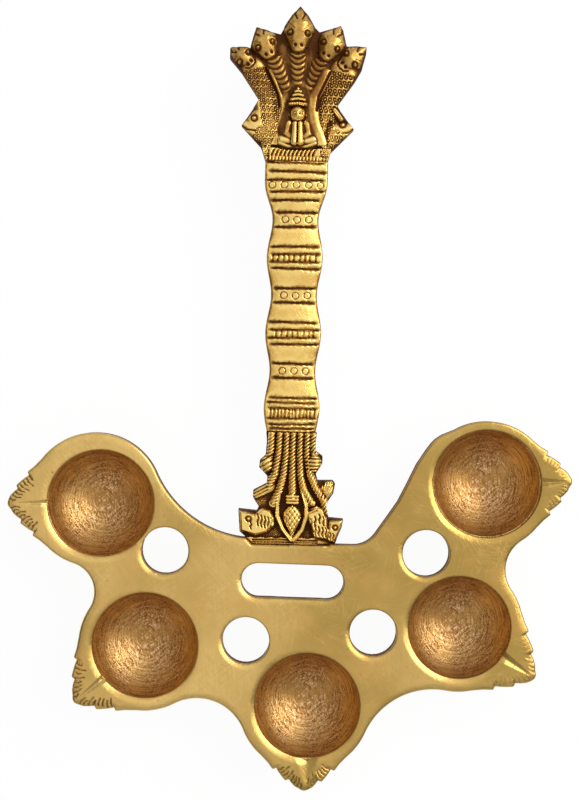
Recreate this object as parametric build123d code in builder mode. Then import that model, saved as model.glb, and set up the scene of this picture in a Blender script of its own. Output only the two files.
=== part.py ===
from build123d import *
import os
from collections import namedtuple
from math import acos, cos, degrees, pi, radians, sin, sqrt

# Five-bowl aarti lamp in cast and turned brass, in millimetres.
# +Y runs from the plate to the crest of the handle, +Z is up and the table is at Z = 0.
# The origin is on the table, under the middle of the lamp's length and width.

# Bowls
bowl_radius = 19.05
bowl_depth = 15.5
bowl_floor = 2.4
bowl_rim_wall = 1.2
bowl_foot_radius = 6.0
bowl_fit = 0.05

# Plate
plate_thickness = 5.5
lip_thickness = 2.0
lip_round = 1.6
rim_width = 4.65
edge_round = 1.2
under_edge_round = 0.6
beak_tip_radius = 2.5
side_web_radius = 10.7
front_web_radius = 20.0
rear_web_radius = 39.0
rear_edge_setback = 10.5
channel_width = 5.2
channel_depth = 1.8
channel_end_gap = 3.4
channel_end_scale = 0.15

# Each lobe's bearing is seen from the middle of the bowl ring, from the front (-Y) towards the right (+X).
# The cast star is a few degrees askew of the handle, and each beak points its own way.
# A lobe lies its own offset further out than the ring, and its beak stands out from its round edge.
ring_ratio = 3.0
Lobe = namedtuple("Lobe", "name bearing offset beak_bearing beak_length")
lobes = [
    Lobe("left_rear", -90.8, -1.0, -88.8, 9.6),
    Lobe("left_front", -47.1, 1.5, -51.1, 8.9),
    Lobe("front", 4.2, -1.2, -1.8, 6.9),
    Lobe("right_front", 55.3, 0.5, 56.0, 9.0),
    Lobe("right_rear", 99.0, -2.5, 94.5, 6.7),
]

# Round holes and slot through the plate, with a web of metal between a hole and the nearest bowl.
# A hole's reach is a share of the ring's.
RoundHole = namedtuple("RoundHole", "bearing share")
round_holes = [
    RoundHole(-70.5, 0.689),
    RoundHole(-20.6, 0.695),
    RoundHole(33.0, 0.716),
    RoundHole(73.5, 0.678),
]
hole_web = 2.5
hole_round = 0.7
slot_length = 36.5
slot_width = 12.8
slot_setback = 25.3
slot_offset = 1.6

# Handle, which leaves the plate at a gentle rise
handle_rise = 2.0
foot_length = 40.3
grip_length = 96.4
hood_length = 54.8
socket_block = 5.0
tenon_width = 10.0
tenon_height = 2.4
tenon_length = 8.0
tenon_gap = 0.1

# Foot, with a tongue that two screws hold under the plate
notch_depth = 2.0
notch_gap = 0.1
foot_base_half_width = 14.5
foot_knee_half_width = 12.4
foot_knee = 12.8
foot_waist_half_width = 8.4
foot_waist = 23.0
foot_top_half_width = 8.7
strand_count = 6
strand_radius = 1.7
strand_start = 17.5
strand_spread = 10.6
strand_top_spread = 7.0
strand_overrun = 1.0
scroll_radius = 3.1
scroll_place = (8.3, 29.7)
leaf_root = (7.0, 22.5)
leaf_tip = (14.0, 19.2)
leaf_radius = 2.8
leaf_height = 3.4
leaf_tip_radius = 0.6
side_head_root = (9.0, 5.3)
side_head_tip = (18.6, 8.9)
side_head_radius = 4.3
side_head_tip_radius = 1.6
bud_root = 1.6
bud_tip = 14.6
bud_radius = 3.5
bud_root_radius = 1.6
bud_tip_radius = 0.5
ring_place = 16.4
ring_radius = 1.8
tongue_half_width = 12.0
tongue_length = 5.5
tongue_thickness = 3.0
screw_spacing = 16.0
screw_radius = 1.5
screw_bite = 3.0
screw_gap = 0.1
screw_head_radius = 2.6
screw_head_height = 1.6
screw_slot_width = 0.7
screw_slot_depth = 0.6

# Grip, a wave of collars and waists
foot_collar_inset = 8.4
crest_collar_inset = 7.3
wave_count = 3
collar_half_width = 9.7
crest_half_width = 11.0
waist_half_width = 7.9
collar_edge = 4.8
waist_edge = 4.0
grip_crown = 1.5
grip_steps = 20
groove_width = 0.7
groove_depth = 0.5
collar_grooves = (-3.9, -1.45, 1.45, 3.9)
waist_grooves = (-2.6, 2.6)
recess_width = 9.0
recess_depth = 2.2
recess_end_gap = 6.0

# Serpent hood, a fan of five cobra heads over two small side heads
fan_thickness = 3.2
hood_base_half_width = 11.1
hood_shoulder = (13.5, 4.3)
hood_side_tip = (19.0, 11.6)
hood_waist = (14.3, 20.6)
hood_flank = (23.0, 33.8)
outer_tip = (23.9, 40.4)
outer_notch = (17.4, 39.6)
inner_tip = (15.0, 47.9)
inner_notch = (6.4, 45.0)
crest_snout = (0.0, 37.2)
inner_snout = (7.8, 35.8)
outer_snout = (15.2, 32.0)
head_axis_height = 3.0
head_radius = 5.6
head_snout_radius = 2.9
head_tip_radius = 0.5
outer_head_radius = 4.8
neck_radius = 3.0
neck_end_radius = 2.5
inner_neck_end = (3.6, 23.0)
outer_neck_end = (10.6, 6.0)
side_ear_root = (11.0, 8.0)
side_ear_radius = 3.6
band_height = 6.2
band_length = 3.8
niche_radius = 7.6
niche_centre = 11.5
niche_top_radius = 3.9
niche_top_centre = 23.4

# Seated figure with joined hands, standing on the floor of the niche
figure_axis_height = 0.8
seat_half_width = 6.9
seat_half_length = 2.1
seat_place = 6.2
seat_height = 1.5
knee_place = (5.8, 7.6)
knee_radius = 1.7
torso_start = 6.6
torso_end = 14.2
torso_radius = 2.4
shoulder_radius = 3.1
shoulder_place = (3.3, 13.0)
elbow_place = (3.5, 9.2)
arm_radius = 1.1
hand_place = (0.55, 12.9)
hand_height = 2.4
hand_radius = 0.95
figure_head_radius = 3.1
figure_head_place = 16.3
crown_tiers = ((18.4, 3.2), (20.4, 2.5), (22.1, 1.7))
crown_tier_length = 2.2
crown_knob_radius = 1.1
crown_knob_place = 24.9
peg_radius = 1.25
peg_length = 2.4
peg_place = 13.5
peg_gap = 0.1


# Sizes that follow from the driving ones
lobe_radius = bowl_radius + rim_width
ring_reach = ring_ratio * lobe_radius
plate_top = bowl_floor + bowl_depth + lip_thickness
plate_bottom = plate_top - plate_thickness
bowl_rim = plate_top - lip_thickness
collar_radius = bowl_radius + bowl_rim_wall
rebate_radius = collar_radius + bowl_fit
tongue_bottom = plate_bottom - tongue_thickness
notch_setback = rear_edge_setback + notch_depth
handle_length = foot_length + grip_length + hood_length


def bearing_vector(bearing):
    return Vector(sin(radians(bearing)), -cos(radians(bearing)))


def lobe_reach(lobe):
    return bearing_vector(lobe.bearing) * (ring_reach + lobe.offset)


def tip_reach(lobe):
    return lobe_radius + lobe.beak_length


def beak_reach(lobe):
    return lobe_reach(lobe) + bearing_vector(lobe.beak_bearing) * tip_reach(lobe)


# The bowl ring lies where the lamp's length and width are centred on the origin.
front_reach = max(-beak_reach(lobe).Y for lobe in lobes)
crest_reach = handle_length * cos(radians(handle_rise)) - notch_setback
left_reach = max(-beak_reach(lobe).X for lobe in lobes)
right_reach = max(beak_reach(lobe).X for lobe in lobes)
ring_centre = Vector((left_reach - right_reach) / 2, (front_reach - crest_reach) / 2)
rear_edge = ring_centre.Y - rear_edge_setback
notch_edge = ring_centre.Y - notch_setback


def bowl_centre(lobe):
    return ring_centre + lobe_reach(lobe)


def flat_arc(centre, start, end):
    """Draws the arc about the centre, of under a half circle, from start to end."""
    radius = (start - centre).length
    middle = centre + ((start + end) * 0.5 - centre).normalized() * radius
    ThreePointArc(start, middle, end)


def web_between(first, second, radius):
    """Finds the centre of the circle that touches two neighbouring lobes from outside."""
    gap = second - first
    outward = Vector(gap.Y, -gap.X).normalized()
    rise = sqrt((lobe_radius + radius) ** 2 - (gap.length / 2) ** 2)
    return (first + second) * 0.5 + outward * rise


def rear_web(lobe_centre, inward):
    """Finds the centre of the circle that touches a rear lobe and the straight rear edge."""
    height = rear_edge + rear_web_radius
    run = sqrt((lobe_radius + rear_web_radius) ** 2 - (height - lobe_centre.Y) ** 2)
    return Vector(lobe_centre.X + inward * run, height)


def lobe_touch(lobe_centre, web_centre):
    return lobe_centre + (web_centre - lobe_centre).normalized() * lobe_radius


def draw_lobe(lobe, first_web, second_web):
    """Draws a lobe's edge from one web to the next, out to its beak and back."""
    centre = bowl_centre(lobe)
    tip_distance = tip_reach(lobe) - beak_tip_radius
    tip_centre = centre + bearing_vector(lobe.beak_bearing) * tip_distance
    spread = degrees(acos((lobe_radius - beak_tip_radius) / tip_distance))
    first_way = bearing_vector(lobe.beak_bearing - spread)
    second_way = bearing_vector(lobe.beak_bearing + spread)
    flat_arc(centre, lobe_touch(centre, first_web), centre + first_way * lobe_radius)
    Line(centre + first_way * lobe_radius, tip_centre + first_way * beak_tip_radius)
    flat_arc(tip_centre, tip_centre + first_way * beak_tip_radius, tip_centre + second_way * beak_tip_radius)
    Line(tip_centre + second_way * beak_tip_radius, centre + second_way * lobe_radius)
    flat_arc(centre, centre + second_way * lobe_radius, lobe_touch(centre, second_web))


def draw_star():
    """Draws the plate's edge: the straight rear edge, then lobes and webs in turn."""
    centres = [bowl_centre(lobe) for lobe in lobes]
    web_radii = (side_web_radius, front_web_radius, front_web_radius, side_web_radius)
    webs = [rear_web(centres[0], 1)]
    for first, second, radius in zip(centres, centres[1:], web_radii):
        webs.append(web_between(first, second, radius))
    webs.append(rear_web(centres[-1], -1))
    rear_left = Vector(webs[0].X, rear_edge)
    rear_right = Vector(webs[-1].X, rear_edge)
    Line(rear_right, rear_left)
    flat_arc(webs[0], rear_left, lobe_touch(centres[0], webs[0]))
    for place, lobe in enumerate(lobes):
        draw_lobe(lobe, webs[place], webs[place + 1])
    for place, web in enumerate(webs[1:-1]):
        flat_arc(web, lobe_touch(centres[place], web), lobe_touch(centres[place + 1], web))
    flat_arc(webs[-1], lobe_touch(centres[-1], webs[-1]), rear_right)


def hole_centre(hole):
    return ring_centre + bearing_vector(hole.bearing) * (ring_reach * hole.share)


def bowl_distance(hole):
    return min((hole_centre(hole) - bowl_centre(lobe)).length for lobe in lobes)


hole_radius = min(bowl_distance(hole) for hole in round_holes) - bowl_radius - hole_web

screw_places = [
    Vector(side * screw_spacing / 2, notch_edge - tongue_length / 2) for side in (-1, 1)
]

# Star-shaped plate
with BuildPart() as lamp_plate:
    with BuildSketch(Plane.XY.offset(plate_bottom)):
        with BuildLine():
            draw_star()
        make_face()
    extrude(amount=plate_thickness)
    fillet(lamp_plate.faces().sort_by(Axis.Z)[-1].edges(), edge_round)
    fillet(lamp_plate.faces().sort_by(Axis.Z)[0].edges(), under_edge_round)
    # Bowl openings, round holes and slot, each with a softened upper edge
    with BuildSketch(Plane.XY.offset(plate_bottom)):
        with Locations(*[bowl_centre(lobe) for lobe in lobes]):
            Circle(bowl_radius)
        with Locations(*[hole_centre(hole) for hole in round_holes]):
            Circle(hole_radius)
        with Locations(Vector(slot_offset, ring_centre.Y - slot_setback)):
            SlotOverall(slot_length, slot_width)
    extrude(amount=plate_thickness, mode=Mode.SUBTRACT)
    openings = lamp_plate.faces().sort_by(Axis.Z)[-1].inner_wires().sort_by(SortBy.LENGTH)
    fillet(openings[-len(lobes):].edges(), lip_round)
    openings = lamp_plate.faces().sort_by(Axis.Z)[-1].inner_wires().sort_by(SortBy.LENGTH)
    fillet(openings[:-len(lobes)].edges(), hole_round)
    # Rebates for the bowls
    with BuildSketch(Plane.XY.offset(plate_bottom)):
        with Locations(*[bowl_centre(lobe) for lobe in lobes]):
            Circle(rebate_radius)
    extrude(amount=plate_thickness - lip_thickness, mode=Mode.SUBTRACT)
    # Notch for the handle's foot
    with BuildSketch(Plane.XY.offset(plate_bottom)):
        with Locations((0, notch_edge)):
            Rectangle(
                2 * foot_base_half_width + 2 * notch_gap,
                2 * notch_depth,
                align=(Align.CENTER, Align.MIN),
            )
    extrude(amount=plate_thickness, mode=Mode.SUBTRACT)
    # V-shaped wick channels, from each bowl to its beak
    for lobe in lobes:
        way = bearing_vector(lobe.beak_bearing)
        across = Vector(-way.Y, way.X)
        for distance, scale in (
            (bowl_radius - lip_round, 1.0),
            (tip_reach(lobe) - channel_end_gap, channel_end_scale),
        ):
            place = bowl_centre(lobe) + way * distance + Vector(0, 0, plate_top)
            with BuildSketch(Plane(origin=place, x_dir=across, z_dir=way)):
                with BuildLine():
                    Polyline(
                        (0, -channel_depth * scale),
                        (channel_width * scale, channel_depth * scale),
                        (-channel_width * scale, channel_depth * scale),
                        close=True,
                    )
                make_face()
        loft(mode=Mode.SUBTRACT)
    # Blind holes for the screws
    with BuildSketch(Plane.XY.offset(plate_bottom)):
        with Locations(*screw_places):
            Circle(screw_radius + screw_gap)
    extrude(amount=screw_bite + screw_gap, mode=Mode.SUBTRACT)

# Turned bowls, each with an upright collar in its rebate and a flat ground foot
inner_curve = (bowl_radius**2 + bowl_depth**2) / (2 * bowl_depth)
inner_middle = bowl_floor + inner_curve
inner_sweep = acos((inner_middle - bowl_rim) / inner_curve) / 2
outer_middle = (collar_radius**2 - bowl_foot_radius**2 + plate_bottom**2) / (2 * plate_bottom)
outer_curve = sqrt(bowl_foot_radius**2 + outer_middle**2)
outer_sweep = (acos((outer_middle - plate_bottom) / outer_curve) + acos(outer_middle / outer_curve)) / 2


def turned_bowl(lobe):
    centre = bowl_centre(lobe)
    with BuildPart() as bowl:
        with BuildSketch(Plane(origin=centre, x_dir=(1, 0, 0), z_dir=(0, -1, 0))):
            with BuildLine():
                ThreePointArc(
                    (0, bowl_floor),
                    (inner_curve * sin(inner_sweep), inner_middle - inner_curve * cos(inner_sweep)),
                    (bowl_radius, bowl_rim),
                )
                Polyline((bowl_radius, bowl_rim), (collar_radius, bowl_rim), (collar_radius, plate_bottom))
                ThreePointArc(
                    (collar_radius, plate_bottom),
                    (outer_curve * sin(outer_sweep), outer_middle - outer_curve * cos(outer_sweep)),
                    (bowl_foot_radius, 0),
                )
                Polyline((bowl_foot_radius, 0), (0, 0), (0, bowl_floor))
            make_face()
        revolve(axis=Axis(centre, (0, 0, 1)))
    return bowl.part


# Planes of the handle's castings: X across, Y along the handle, Z out of its face
rise = radians(handle_rise)
foot_plane = Plane(
    origin=(0, notch_edge, tongue_bottom), x_dir=(1, 0, 0), z_dir=(0, -sin(rise), cos(rise))
)
grip_plane = Plane(
    origin=foot_plane.from_local_coords((0, foot_length, 0)), x_dir=(1, 0, 0), z_dir=foot_plane.z_dir
)
hood_plane = Plane(
    origin=foot_plane.from_local_coords((0, foot_length + grip_length, 0)),
    x_dir=(1, 0, 0),
    z_dir=foot_plane.z_dir,
)


def mirrored(place, side):
    return (side * place[0], place[1])


def spindle(plane, start, end, height, start_radius, radius, end_radius):
    """Makes a round body along a line over the plane, swelling between its two ends."""
    first = plane.from_local_coords((start[0], start[1], height))
    last = plane.from_local_coords((end[0], end[1], height))
    length = (last - first).length
    way = (last - first).normalized()
    with BuildPart() as body:
        with BuildSketch(Plane(origin=first, x_dir=way, z_dir=plane.z_dir)):
            with BuildLine():
                Polyline((length, end_radius), (length, 0), (0, 0), (0, start_radius))
                ThreePointArc((0, start_radius), (0.45 * length, radius), (length, end_radius))
            make_face()
        revolve(axis=Axis(first, way))
    return body.part


def rod(plane, start, end, height, start_radius, end_radius):
    """Makes a straight round body along a line over the plane."""
    first = plane.from_local_coords((start[0], start[1], height))
    last = plane.from_local_coords((end[0], end[1], height))
    way = (last - first).normalized()
    with BuildPart() as body:
        with BuildSketch(Plane(origin=first, x_dir=way, z_dir=plane.z_dir)):
            with BuildLine():
                length = (last - first).length
                Polyline((0, 0), (0, start_radius), (length, end_radius), (length, 0), close=True)
            make_face()
        revolve(axis=Axis(first, way))
    return body.part


# Leafy foot
tenon_base = (socket_block - tenon_height) / 2

with BuildPart() as handle_foot:
    with BuildSketch(foot_plane):
        with BuildLine():
            half_outline = Polyline(
                (0, 0),
                (foot_base_half_width, 0),
                (foot_knee_half_width, foot_knee),
                (foot_waist_half_width, foot_waist),
                (foot_top_half_width, foot_length),
                (0, foot_length),
            )
            mirror(half_outline, about=Plane.YZ)
        make_face()
        with Locations(scroll_place, mirrored(scroll_place, -1)):
            Circle(scroll_radius)
    extrude(amount=socket_block)
    # Strands that fan out from the neck
    for number in range(strand_count):
        share = 2 * number / (strand_count - 1) - 1
        root = (share * strand_spread, strand_start)
        top = (share * strand_top_spread, foot_length + strand_overrun)
        add(spindle(foot_plane, root, top, socket_block, strand_radius / 2, strand_radius, strand_radius))
    # Leaves and small animal heads at each side
    for side in (-1, 1):
        root = mirrored(leaf_root, side)
        tip = mirrored(leaf_tip, side)
        radii = (leaf_radius, leaf_radius, leaf_tip_radius)
        add(spindle(foot_plane, root, tip, leaf_height, *radii))
        root = mirrored(side_head_root, side)
        tip = mirrored(side_head_tip, side)
        radii = (side_head_radius, side_head_radius, side_head_tip_radius)
        add(spindle(foot_plane, root, tip, socket_block / 2, *radii))
    # Bud and ring in the middle
    radii = (bud_root_radius, bud_radius, bud_tip_radius)
    add(spindle(foot_plane, (0, bud_root), (0, bud_tip), socket_block, *radii))
    with Locations(foot_plane.from_local_coords((0, ring_place, socket_block))):
        Sphere(ring_radius)
    split(bisect_by=foot_plane, keep=Keep.TOP)
    # Square upper end against the grip
    neck_end_plane = Plane(origin=grip_plane.origin, x_dir=(1, 0, 0), z_dir=grip_plane.y_dir)
    split(bisect_by=neck_end_plane, keep=Keep.BOTTOM)
    # Upright front face against the plate's notch
    with BuildSketch(Plane.XY.offset(plate_bottom)):
        with Locations((0, notch_edge + notch_gap)):
            Rectangle(4 * foot_base_half_width, foot_length, align=(Align.CENTER, Align.MAX))
    extrude(amount=2 * plate_thickness, mode=Mode.SUBTRACT)
    # Tongue under the plate, with holes for the screws
    with BuildSketch(Plane.XY.offset(tongue_bottom)):
        with Locations((0, notch_edge)):
            Rectangle(2 * tongue_half_width, tongue_length, align=(Align.CENTER, Align.MAX))
    extrude(amount=tongue_thickness)
    with BuildSketch(Plane.XY.offset(tongue_bottom)):
        with Locations(*screw_places):
            Circle(screw_radius + screw_gap)
    extrude(amount=tongue_thickness, mode=Mode.SUBTRACT)
    # Socket for the grip's lower tenon
    with BuildSketch(foot_plane.offset(tenon_base - tenon_gap)):
        with Locations((0, foot_length)):
            Rectangle(tenon_width + 2 * tenon_gap, tenon_length + tenon_gap, align=(Align.CENTER, Align.MAX))
    extrude(amount=tenon_height + 2 * tenon_gap, mode=Mode.SUBTRACT)

# Grip
wave_pitch = (grip_length - foot_collar_inset - crest_collar_inset) / wave_count
last_collar = grip_length - crest_collar_inset
last_waist = last_collar - wave_pitch / 2


def grip_swell(place):
    """Gives 1 at a collar and 0 at a waist, and stays at 1 above the last collar."""
    turns = (min(place, last_collar) - foot_collar_inset) / wave_pitch
    return (1 + cos(2 * pi * turns)) / 2


def grip_half_width(place):
    widest = collar_half_width if place < last_waist else crest_half_width
    return waist_half_width + (widest - waist_half_width) * grip_swell(place)


def grip_edge(place):
    return waist_edge + (collar_edge - waist_edge) * grip_swell(place)


def grip_section(place, inset, back):
    """Draws the grip's section: a flat back, upright sides and a crowned face."""
    half_width = grip_half_width(place) - inset
    edge = grip_edge(place) - inset
    origin = grip_plane.from_local_coords((0, place, 0))
    with BuildSketch(Plane(origin=origin, x_dir=(-1, 0, 0), z_dir=grip_plane.y_dir)) as section:
        with BuildLine():
            Polyline((half_width, edge), (half_width, back), (-half_width, back), (-half_width, edge))
            ThreePointArc((-half_width, edge), (0, edge + grip_crown), (half_width, edge))
        make_face()
    return section.sketch


def grip_groove(place):
    """Makes the sliver that a groove takes out of the grip's face and sides."""
    outside = grip_section(place, -groove_depth, 0)
    inside = grip_section(place, groove_depth, -groove_depth)
    with BuildPart() as sliver:
        extrude(outside, amount=groove_width / 2, both=True)
        extrude(inside, amount=groove_width / 2, both=True, mode=Mode.SUBTRACT)
    return sliver.part


groove_places = []
for wave in range(wave_count + 1):
    collar = foot_collar_inset + wave * wave_pitch
    groove_places += [collar + step for step in collar_grooves]
for wave in range(wave_count):
    waist = foot_collar_inset + (wave + 0.5) * wave_pitch
    groove_places += [waist + step for step in waist_grooves]

with BuildPart() as handle_grip:
    loft([grip_section(grip_length * step / grip_steps, 0, 0) for step in range(grip_steps + 1)])
    add([grip_groove(place) for place in groove_places], mode=Mode.SUBTRACT)
    # Hollow back
    with BuildSketch(grip_plane):
        with Locations((0, grip_length / 2)):
            SlotOverall(grip_length - 2 * recess_end_gap, recess_width, rotation=90)
    extrude(amount=recess_depth, mode=Mode.SUBTRACT)
    # Tenons for the foot and the hood
    with BuildSketch(grip_plane.offset(tenon_base)):
        Rectangle(tenon_width, tenon_length, align=(Align.CENTER, Align.MAX))
        with Locations((0, grip_length)):
            Rectangle(tenon_width, tenon_length, align=(Align.CENTER, Align.MIN))
    extrude(amount=tenon_height)

# Serpent hood
with BuildPart() as serpent_hood:
    with BuildSketch(hood_plane):
        with BuildLine():
            half_outline = Polyline(
                (0, 0),
                (hood_base_half_width, 0),
                hood_shoulder,
                hood_side_tip,
                hood_waist,
                hood_flank,
                outer_tip,
                outer_notch,
                inner_tip,
                inner_notch,
                (0, hood_length),
            )
            mirror(half_outline, about=Plane.YZ)
        make_face()
    extrude(amount=fan_thickness)
    # Block behind the niche
    with BuildSketch(hood_plane):
        Rectangle(2 * hood_base_half_width, niche_top_centre, align=(Align.CENTER, Align.MIN))
    extrude(amount=socket_block)
    # Cobra heads and necks
    neck_radii = (neck_radius, neck_radius, neck_end_radius)
    head_radii = (head_snout_radius, head_radius, head_tip_radius)
    add(spindle(hood_plane, crest_snout, (0, hood_length), head_axis_height, *head_radii))
    add(spindle(hood_plane, crest_snout, (0, niche_top_centre), head_axis_height, *neck_radii))
    for side in (-1, 1):
        for snout, tip, radius, neck_end in (
            (inner_snout, inner_tip, head_radius, inner_neck_end),
            (outer_snout, outer_tip, outer_head_radius, outer_neck_end),
        ):
            root = mirrored(snout, side)
            end = mirrored(tip, side)
            head_radii = (head_snout_radius, radius, head_tip_radius)
            add(spindle(hood_plane, root, end, head_axis_height, *head_radii))
            end = mirrored(neck_end, side)
            add(spindle(hood_plane, root, end, head_axis_height, *neck_radii))
        # Small side heads
        root = mirrored(side_ear_root, side)
        end = mirrored(hood_side_tip, side)
        ear_radii = (side_ear_radius, side_ear_radius, head_tip_radius)
        add(spindle(hood_plane, root, end, head_axis_height, *ear_radii))
    split(bisect_by=hood_plane, keep=Keep.TOP)
    # Niche for the figure
    with BuildSketch(hood_plane.offset(socket_block)):
        with BuildLine():
            CenterArc((0, niche_centre), niche_radius, 0, 360)
            CenterArc((0, niche_top_centre), niche_top_radius, 0, 360)
        make_hull()
    extrude(amount=2 * head_radius, mode=Mode.SUBTRACT)
    # Band across the foot of the hood
    with BuildSketch(hood_plane):
        Rectangle(2 * hood_base_half_width, band_length, align=(Align.CENTER, Align.MIN))
    extrude(amount=band_height)
    # Socket for the grip's upper tenon and hole for the figure's peg
    with BuildSketch(hood_plane.offset(tenon_base - tenon_gap)):
        Rectangle(tenon_width + 2 * tenon_gap, tenon_length + tenon_gap, align=(Align.CENTER, Align.MIN))
    extrude(amount=tenon_height + 2 * tenon_gap, mode=Mode.SUBTRACT)
    with BuildSketch(hood_plane.offset(socket_block)):
        with Locations((0, peg_place)):
            Circle(peg_radius + peg_gap)
    extrude(amount=-peg_length - peg_gap, mode=Mode.SUBTRACT)

# Seated figure
niche_floor = hood_plane.offset(socket_block)

with BuildPart() as seated_figure:
    with BuildSketch(niche_floor):
        with Locations((0, seat_place)):
            Ellipse(seat_half_width, seat_half_length)
    extrude(amount=seat_height)
    # Crossed legs, body and arms
    for side in (-1, 1):
        knee = mirrored(knee_place, side)
        leg_radii = (knee_radius, knee_radius, knee_radius / 2)
        add(spindle(niche_floor, (0, seat_place), knee, seat_height, *leg_radii))
        shoulder = mirrored(shoulder_place, side)
        elbow = mirrored(elbow_place, side)
        hand = mirrored(hand_place, side)
        add(rod(niche_floor, shoulder, elbow, figure_axis_height, arm_radius, arm_radius))
        palm_root = (hand[0], elbow[1])
        add(rod(niche_floor, elbow, palm_root, hand_height, arm_radius, hand_radius))
        add(spindle(niche_floor, palm_root, hand, hand_height, hand_radius, hand_radius, hand_radius / 3))
    body_radii = (torso_radius, shoulder_radius)
    add(rod(niche_floor, (0, torso_start), (0, torso_end), figure_axis_height, *body_radii))
    # Head with a tiered crown
    with Locations(niche_floor.from_local_coords((0, figure_head_place, figure_axis_height))):
        Sphere(figure_head_radius)
    for place, radius in crown_tiers:
        end = (0, place + crown_tier_length)
        add(rod(niche_floor, (0, place), end, figure_axis_height, radius, radius))
    with Locations(niche_floor.from_local_coords((0, crown_knob_place, figure_axis_height))):
        Sphere(crown_knob_radius)
    split(bisect_by=niche_floor, keep=Keep.TOP)
    # Peg into the hood
    with BuildSketch(niche_floor):
        with Locations((0, peg_place)):
            Circle(peg_radius)
    extrude(amount=-peg_length)

# Two slotted screws from below, through the tongue into the plate
with BuildPart() as handle_screws:
    with BuildSketch(Plane.XY.offset(tongue_bottom)):
        with Locations(*screw_places):
            Circle(screw_head_radius)
    extrude(amount=-screw_head_height)
    with BuildSketch(Plane.XY.offset(tongue_bottom - screw_head_height)):
        with Locations(*screw_places):
            Rectangle(2 * screw_head_radius, screw_slot_width)
    extrude(amount=screw_slot_depth, mode=Mode.SUBTRACT)
    with BuildSketch(Plane.XY.offset(tongue_bottom)):
        with Locations(*screw_places):
            Circle(screw_radius)
    extrude(amount=tongue_thickness + screw_bite)

pieces = {
    "lamp_plate": lamp_plate.part,
    "handle_foot": handle_foot.part,
    "handle_grip": handle_grip.part,
    "serpent_hood": serpent_hood.part,
    "seated_figure": seated_figure.part,
    "handle_screws": handle_screws.part,
}
for lobe in lobes:
    pieces["bowl_" + lobe.name] = turned_bowl(lobe)

os.makedirs("parts", exist_ok=True)
for name, piece in pieces.items():
    piece.label = name
    export_step(piece, f"parts/{name}.step")
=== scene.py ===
import math
from collections import namedtuple

import bpy
import numpy as np
import openvdb
from mathutils import Matrix, Vector

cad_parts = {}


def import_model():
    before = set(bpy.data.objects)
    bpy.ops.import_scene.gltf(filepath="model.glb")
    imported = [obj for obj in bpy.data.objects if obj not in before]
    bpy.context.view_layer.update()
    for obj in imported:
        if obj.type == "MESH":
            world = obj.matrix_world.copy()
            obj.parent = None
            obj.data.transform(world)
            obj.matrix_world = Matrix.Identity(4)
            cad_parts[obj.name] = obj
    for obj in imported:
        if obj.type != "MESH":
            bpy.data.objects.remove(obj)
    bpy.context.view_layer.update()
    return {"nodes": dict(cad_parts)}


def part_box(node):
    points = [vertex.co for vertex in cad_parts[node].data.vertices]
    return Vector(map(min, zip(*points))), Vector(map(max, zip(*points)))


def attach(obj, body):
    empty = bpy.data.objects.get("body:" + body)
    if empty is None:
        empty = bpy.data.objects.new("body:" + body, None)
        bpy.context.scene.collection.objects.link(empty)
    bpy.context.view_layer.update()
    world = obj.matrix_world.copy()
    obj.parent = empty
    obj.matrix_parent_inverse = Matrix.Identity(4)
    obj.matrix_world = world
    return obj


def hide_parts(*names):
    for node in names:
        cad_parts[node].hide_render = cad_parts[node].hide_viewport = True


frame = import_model()

# Relief work is in millimetres in each piece's own plane; the scene is in metres.
MM = 0.001

# Plate and bowls
BOWL_RADIUS = 19.05
BOWL_DEPTH = 15.5
BOWL_FLOOR = 2.4
BOWL_RIM_WALL = 1.2
BOWL_FOOT_RADIUS = 6.0
BOWL_FIT = 0.05
LIP_THICKNESS = 2.0
PLATE_THICKNESS = 5.5
LIP_ROUND = 0.4
LIP_WIDTH = 2.4
EDGE_ROUND = 0.7
EDGE_SLOPE = (2.8, 0.65)
HOLE_ROUND = 0.4
HOLE_SLOPE = (2.0, 0.58)
SLOPE_POWER = 1.2
# The slopes round holes and bowls are filed more on the side of this bearing
SLOPE_LEAN = 0.6
SLOPE_LEAN_BEARING = -42.0
NOTCH_SLOPE = (1.3, 0.45)
BEAK_TIP_RADIUS = 2.4
WEB_RADII = (10.7, 17.8, 26.5, 12.5)
REAR_WEB_RADIUS = 39.0
REAR_EDGE_SETBACK = 10.5
# The star is cast a little askew of the handle
STAR_TURN = math.radians(4.2)
NOTCH_DEPTH = 2.0
CHANNEL_STEEPNESS = 0.58
CHANNEL_DEPTH = 1.4
CHANNEL_END_GAP = 1.6
NOTCH_GAP = 0.1
HOLE_RADIUS = 8.35
SLOT_LENGTH = 36.5
SLOT_WIDTH = 12.2
SLOT_LEAN = math.radians(-0.9)
SLOT_SETBACK = 25.6
SLOT_OFFSET = 1.6
FOOT_BASE_HALF_WIDTH = 14.5
NOTCH_LEFT = -13.4
NOTCH_LEAN = 0.93
# The scoop to the right of the handle is a polygon grown by a round
SCOOP_ROUND = 9.5
SCOOP_CORNERS = (
    (10.0, -42.0), (22.9, -42.0), (27.3, -35.6), (30.4, -31.0), (33.5, -24.7), (36.8, -17.7), (40.6, -11.8),
    (43.2, -8.3), (45.6, -5.8), (49.6, -3.1), (58.6, 0.7), (66.0, 3.7), (66.0, 8.0), (10.0, 8.0),
)
SCOOP_SHOULDER = (-8.65, 21.42)

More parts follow.
